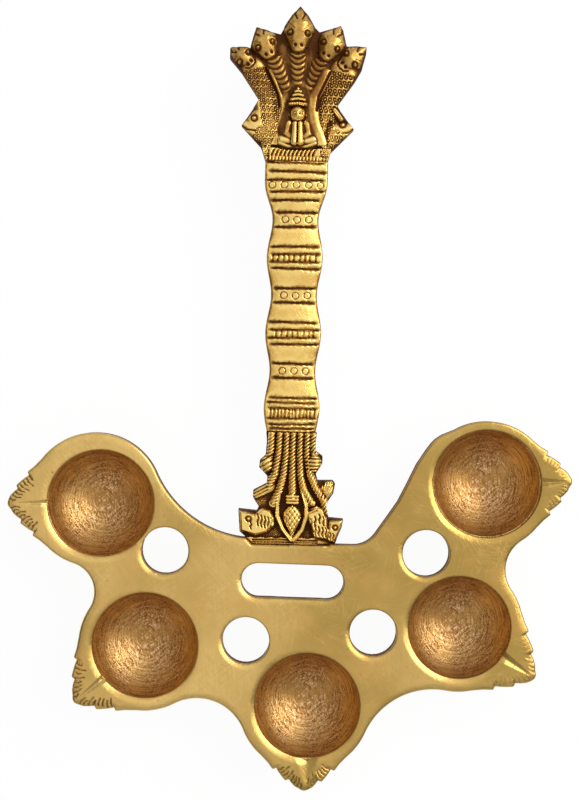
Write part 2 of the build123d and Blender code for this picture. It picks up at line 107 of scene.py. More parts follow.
# Lobes in order round the ring. The beak's bearing and length are seen from the bowl's middle,
# and the lobe's round edge lies a little off it.
LOBE_FIELDS = "beak_bearing beak_length edge_radius edge_shift mouth_radius"
Lobe = namedtuple("Lobe", LOBE_FIELDS + " channel_width channel_turn stroke_depth lip_drop")
LOBES = {
    "left_rear": Lobe(-88.8, 33.28, 24.0, (-2.1, 1.1), 19.0, 2.4, 0.0, 0.36, 0.7),
    "left_front": Lobe(-50.2, 32.6, 23.6, (-0.3, 0.1), 18.8, 3.2, 0.0, 0.36, 0.75),
    "front": Lobe(-1.2, 30.58, 23.7, (-0.9, -0.1), 18.7, 8.0, 2.0, 0.36, 0.74),
    "right_front": Lobe(57.2, 32.5, 23.2, (-0.4, 0.1), 18.2, 4.0, 0.0, 0.12, 0.65),
    "right_rear": Lobe(92.7, 30.33, 23.1, (0.0, -0.9), 19.2, 3.6, 0.0, 0.12, 0.6),
}
ROUND_HOLES = ((-71.6, 49.3), (-20.2, 50.1), (32.9, 51.7), (72.5, 48.7))

# Handle
HANDLE_RISE = math.radians(2.0)
FOOT_LENGTH = 40.3
GRIP_LENGTH = 96.4
TONGUE_LENGTH = 5.5
TONGUE_THICKNESS = 3.0
TONGUE_HALF_WIDTH = 12.0

# Sizes that follow
PLATE_TOP = BOWL_FLOOR + BOWL_DEPTH + LIP_THICKNESS
PLATE_BOTTOM = PLATE_TOP - PLATE_THICKNESS
BOWL_RIM = PLATE_TOP - LIP_THICKNESS
TONGUE_BOTTOM = PLATE_BOTTOM - TONGUE_THICKNESS


def node_centre(node):
    """Gives the middle of a node's box, in millimetres."""
    low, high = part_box(node)
    return (low + high) * 0.5 / MM


BOWL_CENTRES = {name: node_centre("bowl_" + name).xy for name in LOBES}
LOBE_CENTRES = {name: BOWL_CENTRES[name] + Vector(lobe.edge_shift) for name, lobe in LOBES.items()}
NOTCH_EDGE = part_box("handle_foot")[0].y / MM + TONGUE_LENGTH
REAR_EDGE = NOTCH_EDGE + NOTCH_DEPTH
RING_Y = REAR_EDGE + REAR_EDGE_SETBACK
RING_X = BOWL_CENTRES["front"].x - (RING_Y - BOWL_CENTRES["front"].y) * math.tan(STAR_TURN)


def bearing_vector(bearing):
    """Gives a direction in the plate, from the front (-Y) towards the right (+X)."""
    return Vector((math.sin(math.radians(bearing)), -math.cos(math.radians(bearing))))


# Height and distance fields


def smooth_max(a, b, blend):
    """Gives the larger of two fields, with a soft crease where they meet."""
    share = np.clip(0.5 + 0.5 * (a - b) / blend, 0, 1)
    return b + (a - b) * share + blend * share * (1 - share)


def rounded_max(a, b, radius):
    """Joins two distance fields where both hold, with a round edge."""
    corner = np.hypot(np.maximum(a + radius, 0), np.maximum(b + radius, 0))
    return np.minimum(np.maximum(a, b), -radius) + corner


def blurred(field, sigma):
    """Blurs a field with a Gaussian of the given width in cells."""
    rows = np.fft.fftfreq(field.shape[0])[:, None]
    columns = np.fft.rfftfreq(field.shape[1])[None, :]
    kernel = np.exp(-2 * (math.pi * sigma) ** 2 * (rows**2 + columns**2))
    return np.fft.irfft2(np.fft.rfft2(field) * kernel, s=field.shape)


def smooth_step(low, high, value):
    """Goes smoothly from 0 at the first value to 1 at the second, which may be the smaller."""
    share = np.clip((value - low) / (high - low), 0, 1)
    return share * share * (3 - 2 * share)


FAR_AWAY = 1e9
FAR_BELOW = -1e3
CREASE = 0.3
MARK_STAIN = 0.3
# Slanting notches of a twisted strand: their lean, their sharpness, and their depth on flanks and crest
ROPE_SLANT = 0.7
ROPE_NOTCH = (-0.1, 0.9)
ROPE_FLANK = 0.4
ROPE_CREST = 0.6
ROPE_CREASE = 0.15
# Ring round a bead and its line, as shares of the bead's radius
BEAD_RING = 1.5
BEAD_LINE = 0.9
# Punched scales, as shares of their pitch
SCALE_ROW = 0.866
SCALE_RING = 0.34
SCALE_LINE = 0.15
SCALE_STRAY = 0.16
SCALE_SPREAD = (12.99, 78.23)
SCALE_EDGE = 0.4
# Reach and weight of the surroundings that a hollow is measured against
HOLLOW_REACHES = ((0.5, 1.6), (1.5, 0.8))


class Relief:
    """A height map over a back plane, for one cast piece, in millimetres of the piece's own plane."""

    def __init__(self, low, high, step, base):
        self.low = low
        self.step = step
        columns, rows, levels = (int(round((high[i] - low[i]) / step)) + 1 for i in range(3))
        self.x = (low[0] + step * np.arange(columns))[:, None] + np.zeros(rows)[None, :]
        self.y = (low[1] + step * np.arange(rows))[None, :] + np.zeros(columns)[:, None]
        self.z = (low[2] + step * np.arange(levels))[None, None, :]
        self.height = np.full(self.x.shape, float(base))
        self.patina_and_shade = np.zeros(self.x.shape)

    def polygon(self, corners):
        """Gives the signed distance to a polygon, negative inside."""
        nearest = np.full(self.x.shape, FAR_AWAY)
        inside = np.zeros(self.x.shape, bool)
        for (x0, y0), (x1, y1) in zip(corners, [*corners[1:], corners[0]]):
            dx, dy = x1 - x0, y1 - y0
            share = np.clip(((self.x - x0) * dx + (self.y - y0) * dy) / (dx * dx + dy * dy), 0, 1)
            reach = (self.x - x0 - share * dx) ** 2 + (self.y - y0 - share * dy) ** 2
            nearest = np.minimum(nearest, reach)
            if y0 != y1:
                crosses = (self.y >= min(y0, y1)) & (self.y < max(y0, y1))
                inside ^= crosses & (self.x < x0 + (self.y - y0) * dx / dy)
        return np.where(inside, -1, 1) * np.sqrt(nearest)

    def disc(self, centre, radius):
        """Gives the signed distance to a disc, negative inside."""
        return np.hypot(self.x - centre[0], self.y - centre[1]) - radius

    def path(self, points):
        """Gives each cell's length along a path, its signed distance from it, and the path's length."""
        nearest = np.full(self.x.shape, FAR_AWAY)
        along = np.zeros(self.x.shape)
        start = 0.0
        for (x0, y0), (x1, y1) in zip(points, points[1:]):
            dx, dy = x1 - x0, y1 - y0
            length = math.hypot(dx, dy)
            share = np.clip(((self.x - x0) * dx + (self.y - y0) * dy) / length**2, 0, 1)
            distance = np.hypot(self.x - x0 - share * dx, self.y - y0 - share * dy)
            side = np.where(dx * (self.y - y0) - dy * (self.x - x0) < 0, -1, 1)
            closer = distance < np.abs(nearest)
            nearest = np.where(closer, distance * side, nearest)
            along = np.where(closer, start + share * length, along)
            start += length
        return along, nearest, start

    def local(self, origin, tip):
        """Gives lengths along and across a line from the origin towards the tip, and its length."""
        way = Vector(tip) - Vector(origin)
        length = way.length
        way.normalize()
        along = (self.x - origin[0]) * way.x + (self.y - origin[1]) * way.y
        across = -(self.x - origin[0]) * way.y + (self.y - origin[1]) * way.x
        return along, across, length

    def rise_to(self, surface, where=True, blend=CREASE):
        """Lifts part of the relief to a second surface, with a soft crease between them."""
        self.height = smooth_max(self.height, np.where(where, surface, FAR_BELOW), blend)

    def darken(self, patina_and_shade):
        """Adds darkening that the relief's own hollows don't give: patina in some places, painted shade in
        others.
        """
        self.patina_and_shade = self.patina_and_shade + patina_and_shade

    def rib(self, points, radius, crest, base, end_radius=None):
        """Lays a round rib along a path, which may taper."""
        along, across, length = self.path(points)
        last = radius if end_radius is None else end_radius
        width = radius + (last - radius) * along / length
        swell = np.sqrt(np.clip(1 - (across / width) ** 2, 0, 1)) * np.sqrt(width / max(radius, last))
        self.rise_to(base + (crest - base) * swell, np.abs(across) < width)

    def rope(self, points, radius, crest, base, end_radius, pitch, twist):
        """Lays a rib with the slanting notches of a twisted strand."""
        along, across, length = self.path(points)
        width = radius + (end_radius - radius) * along / length
        swell = np.sqrt(np.clip(1 - (across / width) ** 2, 0, 1))
        notch = smooth_step(*ROPE_NOTCH, np.cos(2 * math.pi * (along + ROPE_SLANT * across) / pitch))
        surface = base + (crest - base) * swell - twist * notch * (ROPE_FLANK + ROPE_CREST * swell)
        self.rise_to(surface, np.abs(across) < width, ROPE_CREASE)

    def dome(self, centre, half_width, half_length, crest, base):
        """Lays a domed oval on the relief."""
        reach = ((self.x - centre[0]) / half_width) ** 2 + ((self.y - centre[1]) / half_length) ** 2
        swell = np.sqrt(np.clip(1 - reach, 0, 1))
        self.rise_to(base + (crest - base) * swell, reach < 1)

    def groove(self, points, width, depth):
        """Cuts a rounded groove along a path."""
        across = self.path(points)[1]
        self.height = self.height - depth * np.exp(-((across / (0.5 * width)) ** 2))

    def row_of_grooves(self, points, step, count, width, depth):
        """Cuts the same groove several times, each a step further on."""
        for number in range(count):
            self.groove([(x + step[0] * number, y + step[1] * number) for x, y in points], width, depth)

    def ring(self, centre, radius, width, depth):
        """Cuts a punched ring."""
        punched = np.exp(-((self.disc(centre, radius) / (0.5 * width)) ** 2))
        self.height = self.height - depth * punched
        self.darken(MARK_STAIN * punched)

    def pit(self, centre, radius, depth):
        """Cuts a small round pit."""
        self.ring(centre, 0, 2 * radius, depth)

    def bead(self, centre, radius, lift):
        """Sets a small bead in a punched ring, as an eye."""
        self.ring(centre, BEAD_RING * radius, BEAD_LINE * radius, lift)
        self.height = self.height + lift * np.clip(1 - (self.disc(centre, 0) / radius) ** 2, 0, 1)

    def scales(self, region, pitch, depth):
        """Punches rows of small rings into a region, a little out of line."""
        rise = SCALE_ROW * pitch
        row = np.round(self.y / rise)
        shift = np.where(row % 2 == 0, 0.0, 0.5 * pitch)
        column = np.round((self.x - shift) / pitch)
        stray = SCALE_STRAY * pitch * np.sin(SCALE_SPREAD[0] * column + SCALE_SPREAD[1] * row)
        away = np.hypot(self.x - shift - pitch * column - stray, self.y - rise * row + stray)
        punched = np.exp(-(((away - SCALE_RING * pitch) / (SCALE_LINE * pitch)) ** 2))
        self.height = self.height - depth * punched * smooth_step(SCALE_EDGE, -SCALE_EDGE, region)

    def block(self, low, high):
        """Gives the distance to an upright box, over the whole volume."""
        sides = [np.maximum(low[0] - self.x, self.x - high[0]), np.maximum(low[1] - self.y, self.y - high[1])]
        ends = np.maximum(low[2] - self.z, self.z - high[2])
        return np.maximum(np.maximum(*sides)[:, :, None], ends)

    def hollows(self, inside):
        """Tells how far each cell lies below its surroundings, near and wide, in millimetres."""
        total = np.zeros(self.x.shape)
        for reach, share in HOLLOW_REACHES:
            sigma = reach / self.step
            weight = np.maximum(blurred(inside, sigma), 1e-3)
            total += share * (blurred(self.height * inside, sigma) / weight - self.height)
        return total

    def read(self, field, points):
        """Reads a field at points given in the relief's plane."""
        i = np.round((points[:, 0] - self.low[0]) / self.step).astype(int)
        j = np.round((points[:, 1] - self.low[1]) / self.step).astype(int)
        return field[np.clip(i, 0, field.shape[0] - 1), np.clip(j, 0, field.shape[1] - 1)]


FLAT_MERGE = 0.015
BAND_CELLS = 3.0


def voxel_mesh(distance, low, step):
    """Meshes a distance field and gives points, triangles and quads."""
    band = BAND_CELLS * step
    grid = openvdb.FloatGrid(band)
    grid.copyFromArray(np.clip(distance, -band, band).astype(np.float32))
    points, triangles, quads = grid.convertToPolygons(0.0, FLAT_MERGE)
    return points * step + np.array(low), triangles, quads


def new_piece(name, points, faces_by_size, matrix, material):
    """Makes a smooth-shaded piece that rides on the lamp."""
    mesh = bpy.data.meshes.new(name)
    corners = np.concatenate([faces.ravel() for faces in faces_by_size]).astype(np.int32)
    sizes = np.concatenate([np.full(len(faces), faces.shape[1], np.int32) for faces in faces_by_size])
    mesh.vertices.add(len(points))
    mesh.vertices.foreach_set("co", np.ascontiguousarray(points * MM, np.float32).ravel())
    mesh.loops.add(len(corners))
    mesh.loops.foreach_set("vertex_index", corners)
    mesh.polygons.add(len(sizes))
    mesh.polygons.foreach_set("loop_start", np.concatenate([[0], np.cumsum(sizes)[:-1]]).astype(np.int32))
    mesh.update(calc_edges=True)
    mesh.validate()
    mesh.shade_smooth()
    mesh.transform(matrix)
    mesh.materials.append(material)
    piece = bpy.data.objects.new(name, mesh)
    bpy.context.scene.collection.objects.link(piece)
    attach(piece, "root")
    return piece


# Fixed value that paints the sides of every casting dark brown as painted shade
SIDE_PAINTED_SHADE = 0.7
WORN_LIMIT = -0.2
FACE_DEPTHS = (-0.9, -0.3)


def mark_hollows(piece, relief, outline, points, above):
    """Keeps how sunken each point is, for the patina: on the face from the relief with its own patina and
    painted shade added, elsewhere a fixed value that paints shade on the sides.
    """
    sunken = np.clip(relief.hollows((outline < 0).astype(float)), WORN_LIMIT, 1)
    hollow = relief.read(sunken + relief.patina_and_shade, points)
    on_face = smooth_step(*FACE_DEPTHS, above)
    values = np.clip(hollow, -1, 1) * on_face + SIDE_PAINTED_SHADE * (1 - on_face)
    attribute = piece.data.attributes.new("hollow", "FLOAT", "POINT")
    attribute.data.foreach_set("value", np.ascontiguousarray(values, np.float32))


def cast_piece(name, node, relief, outline, back, edge_round, matrix, joined=(), cut=()):
    """Turns a relief into a closed casting with round edges, with blocks joined on and cut out."""
    slope_x, slope_y = np.gradient(relief.height, relief.step)
    slant = 1 / np.sqrt(1 + slope_x**2 + slope_y**2)
    face = (relief.z - relief.height[:, :, None]) * slant[:, :, None]
    solid = rounded_max(face, outline[:, :, None], edge_round)
    solid = np.maximum(solid, np.asarray(back)[..., None] - relief.z)
    for block in joined:
        solid = np.minimum(solid, block)
    for block in cut:
        solid = np.maximum(solid, -block)
    points, triangles, quads = voxel_mesh(solid, relief.low, relief.step)
    faces = [kind for kind in (triangles, quads) if len(kind)]
    piece = new_piece(name, points, faces, matrix, HANDLE_BRASS)
    mark_hollows(piece, relief, outline, points, points[:, 2] - relief.read(relief.height, points))
    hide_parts(node)


# Node helpers


def add_node(tree, kind, **values):
    """Adds a node and sets its properties."""
    node = tree.nodes.new(kind)
    for name, value in values.items():
        setattr(node, name, value)
    return node


def set_inputs(node, **values):
    """Sets a node's inputs by name, with underscores for spaces."""
    for name, value in values.items():
        node.inputs[name.replace("_", " ")].default_value = value
    return node


def feed(tree, node, place, value):
    """Links a value to an input of a node, or sets the input to a number or a colour."""
    if isinstance(value, tuple):
        node.inputs[place].default_value = (*value, 1.0)
    elif isinstance(value, (int, float)):
        node.inputs[place].default_value = value
    else:
        tree.links.new(value, node.inputs[place])


def math_node(tree, operation, first, second):
    """Joins two values or numbers by an operation."""
    node = add_node(tree, "ShaderNodeMath", operation=operation)
    feed(tree, node, 0, first)
    feed(tree, node, 1, second)
    return node.outputs[0]


def map_range(tree, value, low, high, to_low, to_high):
    """Maps a value from one range to another, with no overrun."""
    node = add_node(tree, "ShaderNodeMapRange", clamp=True)
    tree.links.new(value, node.inputs["Value"])
    set_inputs(node, From_Min=low, From_Max=high, To_Min=to_low, To_Max=to_high)
    return node.outputs["Result"]


def noise_value(tree, vector, scale, detail=3.0, roughness=0.55):
    """Gives a noise from 0 to 1."""
    node = add_node(tree, "ShaderNodeTexNoise")
    set_inputs(node, Scale=scale, Detail=detail, Roughness=roughness)
    tree.links.new(vector, node.inputs["Vector"])
    return node.outputs["Fac"]


def centred_noise(tree, vector, scale, detail=3.0, roughness=0.55):
    """Gives a noise to either side of zero."""
    return math_node(tree, "SUBTRACT", noise_value(tree, vector, scale, detail, roughness), 0.5)


def mix_colour(tree, share, first, second):
    """Mixes two colours by a share."""
    node = add_node(tree, "ShaderNodeMix", data_type="RGBA")
    for place, value in ((0, share), (6, first), (7, second)):
        feed(tree, node, place, value)
    return node.outputs[2]


def scaled_sum(tree, *parts):
    """Adds up values, each with its own weight."""
    total = None
    for value, weight in parts:
        part = math_node(tree, "MULTIPLY", value, weight)
        total = part if total is None else math_node(tree, "ADD", total, part)
    return total


def new_group(name, inputs, outputs):
    """Makes a node group with float or vector inputs and float outputs."""
    group = bpy.data.node_groups.new(name, "ShaderNodeTree")
    for socket, (kind, value) in inputs.items():
        made = group.interface.new_socket(socket, in_out="INPUT", socket_type=kind)
        if kind == "NodeSocketFloat":
            made.default_value = value
    for socket in outputs:
        group.interface.new_socket(socket, in_out="OUTPUT", socket_type="NodeSocketFloat")
    return group, group.nodes.new("NodeGroupInput"), group.nodes.new("NodeGroupOutput")


def scaled_place(group, given):
    """Scales a group's own coordinates by its Scale input."""
    scaled = add_node(group, "ShaderNodeVectorMath", operation="SCALE")
    group.links.new(given.outputs["Vector"], scaled.inputs[0])
    group.links.new(given.outputs["Scale"], scaled.inputs["Scale"])
    return scaled.outputs["Vector"]


def streak_place(tree, vector, turn, stretch, scale):
    """Turns coordinates about the upright axis and stretches them, for streaks that run one way."""
    mapping = add_node(tree, "ShaderNodeMapping", vector_type="TEXTURE")
    mapping.inputs["Rotation"].default_value = (0, 0, math.radians(turn))
    mapping.inputs["Scale"].default_value = (stretch / scale, 1 / scale, 1 / scale)
    tree.links.new(vector, mapping.inputs["Vector"])
    return mapping.outputs["Vector"]


PLACE_INPUTS = {"Vector": ("NodeSocketVector", None), "Scale": ("NodeSocketFloat", 1.0)}
# Turn in degrees, stretch and scale of each layer of streaks
HAIRLINE_LAYERS = ((24, 12, 420), (-51, 10, 560), (78, 13, 480), (-9, 9, 640), (128, 8, 720))
HAIRLINE_WIDTH = 0.045
HAIRLINE_PATCHES = 0.16
STROKE_LAYERS = ((38, 13, 2300), (-47, 11, 2500), (96, 14, 2200))
STROKE_PATCHES = 0.07
STROKE_DETAIL = (2.0, 0.6)
PIT_SCALE = 260.0
PIT_RADII = (0.05, 0.16)
PIT_CHOICE_SCALE = 90.0
# Ragged edge of the patina: scale, detail and roughness of two noises, with their weights
PATINA_CLOUD = (520.0, 5.0, 0.7)
PATINA_CLOUD_WEIGHT = 0.4
PATINA_BROAD = (130.0, 3.0, 0.6)
PATINA_BROAD_WEIGHT = 0.2
# Depths in millimetres at which the halo and the deep patina start and end, and the worn crests end
HALO_DEPTHS = (0.05, 0.34)
DEEP_DEPTHS = (0.34, 0.72)
WORN_DEPTHS = (-0.16, 0.0)


def hairlines_group():
    """Fine wiping scratches in several directions, broken up by a patchy mask."""
    group, given, result = new_group("fine hairlines", PLACE_INPUTS, ("Mask", "Height"))
    vector = scaled_place(group, given)
    total = None
    for turn, stretch, scale in HAIRLINE_LAYERS:
        cells = add_node(group, "ShaderNodeTexVoronoi", feature="DISTANCE_TO_EDGE")
        cells.inputs["Scale"].default_value = 1.0
        group.links.new(streak_place(group, vector, turn, stretch, scale), cells.inputs["Vector"])
        lines = map_range(group, cells.outputs["Distance"], 0.0, HAIRLINE_WIDTH, 1.0, 0.0)
        patches = map_range(group, noise_value(group, vector, scale * HAIRLINE_PATCHES), 0.52, 0.64, 0.0, 1.0)
        layer = math_node(group, "MULTIPLY", lines, patches)
        total = layer if total is None else math_node(group, "MAXIMUM", total, layer)
    group.links.new(total, result.inputs["Mask"])
    group.links.new(math_node(group, "MULTIPLY", total, -1.0), result.inputs["Height"])
    return group


def strokes_group():
    """Short brushed strokes that cross each other patch by patch, as a value to either side of zero."""
    group, given, result = new_group("brushed strokes", PLACE_INPUTS, ("Value",))
    vector = scaled_place(group, given)
    total = None
    for turn, stretch, scale in STROKE_LAYERS:
        streaks = centred_noise(group, streak_place(group, vector, turn, stretch, scale), 1.0, *STROKE_DETAIL)
        patches = map_range(group, noise_value(group, vector, scale * STROKE_PATCHES), 0.4, 0.6, 0.15, 1.0)
        layer = math_node(group, "MULTIPLY", streaks, patches)
        total = layer if total is None else math_node(group, "ADD", total, layer)
    group.links.new(total, result.inputs["Value"])
    return group


def pits_group():
    """Casting pits: a few small dark dents, scattered unevenly."""
    group, given, result = new_group("casting pits", PLACE_INPUTS, ("Mask", "Height"))
    vector = scaled_place(group, given)
    cells = add_node(group, "ShaderNodeTexVoronoi", feature="F1")
    cells.inputs["Scale"].default_value = PIT_SCALE
    group.links.new(vector, cells.inputs["Vector"])
    spots = map_range(group, cells.outputs["Distance"], *PIT_RADII, 1.0, 0.0)
    chosen = map_range(group, noise_value(group, vector, PIT_CHOICE_SCALE), 0.58, 0.66, 0.0, 1.0)
    mask = math_node(group, "MULTIPLY", spots, chosen)
    group.links.new(mask, result.inputs["Mask"])
    group.links.new(math_node(group, "MULTIPLY", mask, -1.0), result.inputs["Height"])
    return group


def patina_and_shade_group():
    """Dark patina left in the hollows of a casting, and the same colours as painted shade where the mark
    carries it: a ragged brown halo and a near-black bottom.
    """
    inputs = {**PLACE_INPUTS, "Hollow": ("NodeSocketFloat", 0.0)}
    group, given, result = new_group("patina and painted shade", inputs, ("Halo", "Deep", "Worn"))
    vector = scaled_place(group, given)
    cloud = centred_noise(group, vector, *PATINA_CLOUD)
    broad = centred_noise(group, vector, *PATINA_BROAD)
    ragged = scaled_sum(group, (cloud, PATINA_CLOUD_WEIGHT), (broad, PATINA_BROAD_WEIGHT))
    depth = math_node(group, "ADD", given.outputs["Hollow"], ragged)
    group.links.new(map_range(group, depth, *HALO_DEPTHS, 0.0, 1.0), result.inputs["Halo"])
    group.links.new(map_range(group, depth, *DEEP_DEPTHS, 0.0, 1.0), result.inputs["Deep"])
    group.links.new(map_range(group, depth, *WORN_DEPTHS, 1.0, 0.0), result.inputs["Worn"])
    return group


def use_group(tree, group, vector, scale):
    """Places a node group on coordinates, at its own scale."""
    node = add_node(tree, "ShaderNodeGroup", node_tree=group)
    tree.links.new(vector, node.inputs["Vector"])
    node.inputs["Scale"].default_value = scale
    return node


PATINA_SPECULAR = 0.05


def new_material(name):
    """Starts a metal, and gives its nodes, its shader and the piece's own coordinates."""
    material = bpy.data.materials.new(name)
    material.use_nodes = True
    tree = material.node_tree
    shader = tree.nodes["Principled BSDF"]
    shader.inputs["Metallic"].default_value = 1.0
    shader.inputs["Specular IOR Level"].default_value = PATINA_SPECULAR
    coords = add_node(tree, "ShaderNodeTexCoord")
    return material, tree, shader, coords.outputs["Object"]


def bump(tree, shader, height, distance, strength):
    """Gives a shader the fine grain of its surface."""
    node = add_node(tree, "ShaderNodeBump")
    set_inputs(node, Strength=strength, Distance=distance)
    tree.links.new(height, node.inputs["Height"])
    tree.links.new(node.outputs["Normal"], shader.inputs["Normal"])


HAIRLINES = hairlines_group()
STROKES = strokes_group()
PITS = pits_group()
PATINA_AND_SHADE = patina_and_shade_group()


def patina_and_shade_masks(tree, place):
    """Places the patina group on a casting's own mark of its hollows, which also carries painted shade."""
    node = use_group(tree, PATINA_AND_SHADE, place, 1.0)
    hollow = add_node(tree, "ShaderNodeAttribute", attribute_name="hollow")
    tree.links.new(hollow.outputs["Fac"], node.inputs["Hollow"])
    return node.outputs["Halo"], node.outputs["Deep"], node.outputs["Worn"]


def patchy(tree, place, noise, low, high, share):
    """Gives the share of a tarnish that comes and goes in patches."""
    return map_range(tree, noise_value(tree, place, *noise), low, high, 0.0, share)


# Linear colours of the plate: polished, tarnished, warm, brushed, scratched and pitted brass, and its patina
PLATE_POLISHED = (0.66, 0.45, 0.155)
PLATE_TARNISHED = (0.385, 0.252, 0.066)
PLATE_WARM = (0.62, 0.35, 0.11)
PLATE_BRUSHED = (0.42, 0.255, 0.065)
PLATE_SCRATCHED = (0.78, 0.56, 0.23)
PLATE_PITTED = (0.16, 0.08, 0.02)
PLATE_HALO = (0.28, 0.13, 0.028)
PLATE_DEEP = (0.09, 0.035, 0.008)
PLATE_ROUGHNESS = (0.27, 0.37)
PLATE_DEEP_METAL = 0.3
PLATE_BUMP = 0.00014


def plate_material():
    """Wiped and polished brass with hairlines, pits and uneven warm tarnish, dark patina in its cuts, and the
    same dark brown as painted shade on its sides.
    """
    material, tree, shader, place = new_material("plate_brass")
    hairs = use_group(tree, HAIRLINES, place, 1.0)
    strokes = use_group(tree, STROKES, place, 0.55)
    pits = use_group(tree, PITS, place, 1.0)
    halo, deep, _ = patina_and_shade_masks(tree, place)
    clouds = patchy(tree, place, (17.0, 4.0, 0.5), 0.36, 0.62, 1.0)
    warm = patchy(tree, place, (60.0, 4.0, 0.6), 0.48, 0.7, 0.5)
    brushed = map_range(tree, strokes.outputs["Value"], -0.2, 0.2, 0.0, 0.3)
    scratched = math_node(tree, "MULTIPLY", hairs.outputs["Mask"], 0.2)
    colour = mix_colour(tree, clouds, PLATE_POLISHED, PLATE_TARNISHED)
    colour = mix_colour(tree, warm, colour, PLATE_WARM)
    colour = mix_colour(tree, brushed, colour, PLATE_BRUSHED)
    colour = mix_colour(tree, scratched, colour, PLATE_SCRATCHED)
    colour = mix_colour(tree, pits.outputs["Mask"], colour, PLATE_PITTED)
    colour = mix_colour(tree, halo, colour, PLATE_HALO)
    colour = mix_colour(tree, deep, colour, PLATE_DEEP)
    tree.links.new(colour, shader.inputs["Base Color"])
    cloudy = map_range(tree, noise_value(tree, place, 60.0, 4.0), 0.3, 0.7, *PLATE_ROUGHNESS)
    rough = scaled_sum(tree, (cloudy, 1.0), (hairs.outputs["Mask"], 0.1), (halo, 0.1), (deep, 0.2))
    tree.links.new(rough, shader.inputs["Roughness"])
    tree.links.new(map_range(tree, deep, 0.0, 1.0, 1.0, PLATE_DEEP_METAL), shader.inputs["Metallic"])
    waves = noise_value(tree, place, 42.0, 2.0)
    height = scaled_sum(
        tree,
        (hairs.outputs["Height"], 0.25),
        (pits.outputs["Height"], 1.0),
        (strokes.outputs["Value"], 0.12),
        (waves, 3.2),
    )
    bump(tree, shader, height, PLATE_BUMP, 0.6)
    return material


# Linear colours of the bowls: floor, rim, copper and brown tarnish, dark and bright scratches, specks
BOWL_FLOOR_BROWN = (0.365, 0.188, 0.054)
BOWL_RIM_BRASS = (0.74, 0.46, 0.155)
BOWL_COPPER = (0.50, 0.25, 0.09)
BOWL_BROWN = (0.33, 0.17, 0.05)
BOWL_DARK_SCRATCH = (0.2, 0.095, 0.025)
BOWL_BRIGHT_SCRATCH = (0.82, 0.60, 0.36)
BOWL_SPECK = (0.08, 0.035, 0.012)
BOWL_ROUGHNESS = (0.5, 0.34)
BOWL_BUMP = 0.00026
# Lathe scratches: how often they break up on the way round and outward, and their strength in the middle
LATHE_AROUND = 1.5
LATHE_OUTWARD = 2400.0
LATHE_MIDDLE = 0.42
# Distances from the bowl's axis, in metres, between which its floor turns into its rim
BOWL_RIM_REACH = (0.004, 0.017)


def axis_coordinates(tree, place):
    """Gives the distance from a turned piece's axis, and coordinates that run round it and outward."""
    flat = add_node(tree, "ShaderNodeVectorMath", operation="MULTIPLY")
    flat.inputs[1].default_value = (1.0, 1.0, 0.0)
    tree.links.new(place, flat.inputs[0])
    reach_node = add_node(tree, "ShaderNodeVectorMath", operation="LENGTH")
    tree.links.new(flat.outputs["Vector"], reach_node.inputs[0])
    reach = reach_node.outputs["Value"]
    way = add_node(tree, "ShaderNodeVectorMath", operation="NORMALIZE")
    tree.links.new(flat.outputs["Vector"], way.inputs[0])
    around = add_node(tree, "ShaderNodeVectorMath", operation="MULTIPLY_ADD")
    around.inputs[1].default_value = (LATHE_AROUND, LATHE_AROUND, LATHE_AROUND)
    tree.links.new(way.outputs["Vector"], around.inputs[0])
    outward = add_node(tree, "ShaderNodeCombineXYZ")
    tree.links.new(math_node(tree, "MULTIPLY", reach, LATHE_OUTWARD), outward.inputs["Z"])
    tree.links.new(outward.outputs["Vector"], around.inputs[2])
    return reach, around.outputs["Vector"]


def bowl_material():
    """Turned bowl: browned brass with concentric lathe scratches, short crossing strokes and dark specks."""
    material, tree, shader, place = new_material("bowl_brass")
    reach, around = axis_coordinates(tree, place)
    near_rim = map_range(tree, reach, *BOWL_RIM_REACH, 0.0, 1.0)
    rings = centred_noise(tree, around, 1.0, 4.0, 0.7)
    rings = math_node(tree, "MULTIPLY", rings, map_range(tree, near_rim, 0.0, 1.0, LATHE_MIDDLE, 1.0))
    strokes = use_group(tree, STROKES, place, 1.0).outputs["Value"]
    pits = use_group(tree, PITS, place, 1.9)
    grain = centred_noise(tree, place, 1500.0, 4.0, 0.75)
    copper = patchy(tree, place, (75.0, 4.0, 0.6), 0.48, 0.66, 0.7)
    brown = patchy(tree, place, (110.0, 5.0, 0.65), 0.46, 0.7, 0.6)
    marks = scaled_sum(tree, (strokes, 0.9), (rings, 1.15), (grain, 0.5))
    colour = mix_colour(tree, near_rim, BOWL_FLOOR_BROWN, BOWL_RIM_BRASS)
    colour = mix_colour(tree, copper, colour, BOWL_COPPER)
    colour = mix_colour(tree, brown, colour, BOWL_BROWN)
    colour = mix_colour(tree, map_range(tree, marks, 0.02, -0.2, 0.0, 0.9), colour, BOWL_DARK_SCRATCH)
    colour = mix_colour(tree, map_range(tree, marks, 0.03, 0.2, 0.0, 0.7), colour, BOWL_BRIGHT_SCRATCH)
    colour = mix_colour(tree, pits.outputs["Mask"], colour, BOWL_SPECK)
    tree.links.new(colour, shader.inputs["Base Color"])
    tree.links.new(map_range(tree, marks, -0.2, 0.2, *BOWL_ROUGHNESS), shader.inputs["Roughness"])
    height = scaled_sum(tree, (strokes, 0.55), (rings, 0.9), (grain, 0.36), (pits.outputs["Height"], 0.5))
    bump(tree, shader, height, BOWL_BUMP, 0.7)
    return material


# Linear colours of the handle: cast, worn and tarnished brass, and its patina
HANDLE_CAST = (0.71, 0.46, 0.125)
HANDLE_WORN = (0.82, 0.58, 0.187)
HANDLE_TARNISHED = (0.58, 0.34, 0.085)
HANDLE_HALO = (0.30, 0.135, 0.03)
HANDLE_DEEP = (0.07, 0.025, 0.007)
HANDLE_ROUGHNESS = 0.27
HANDLE_DEEP_METAL = 0.5
HANDLE_BUMP = 0.00012


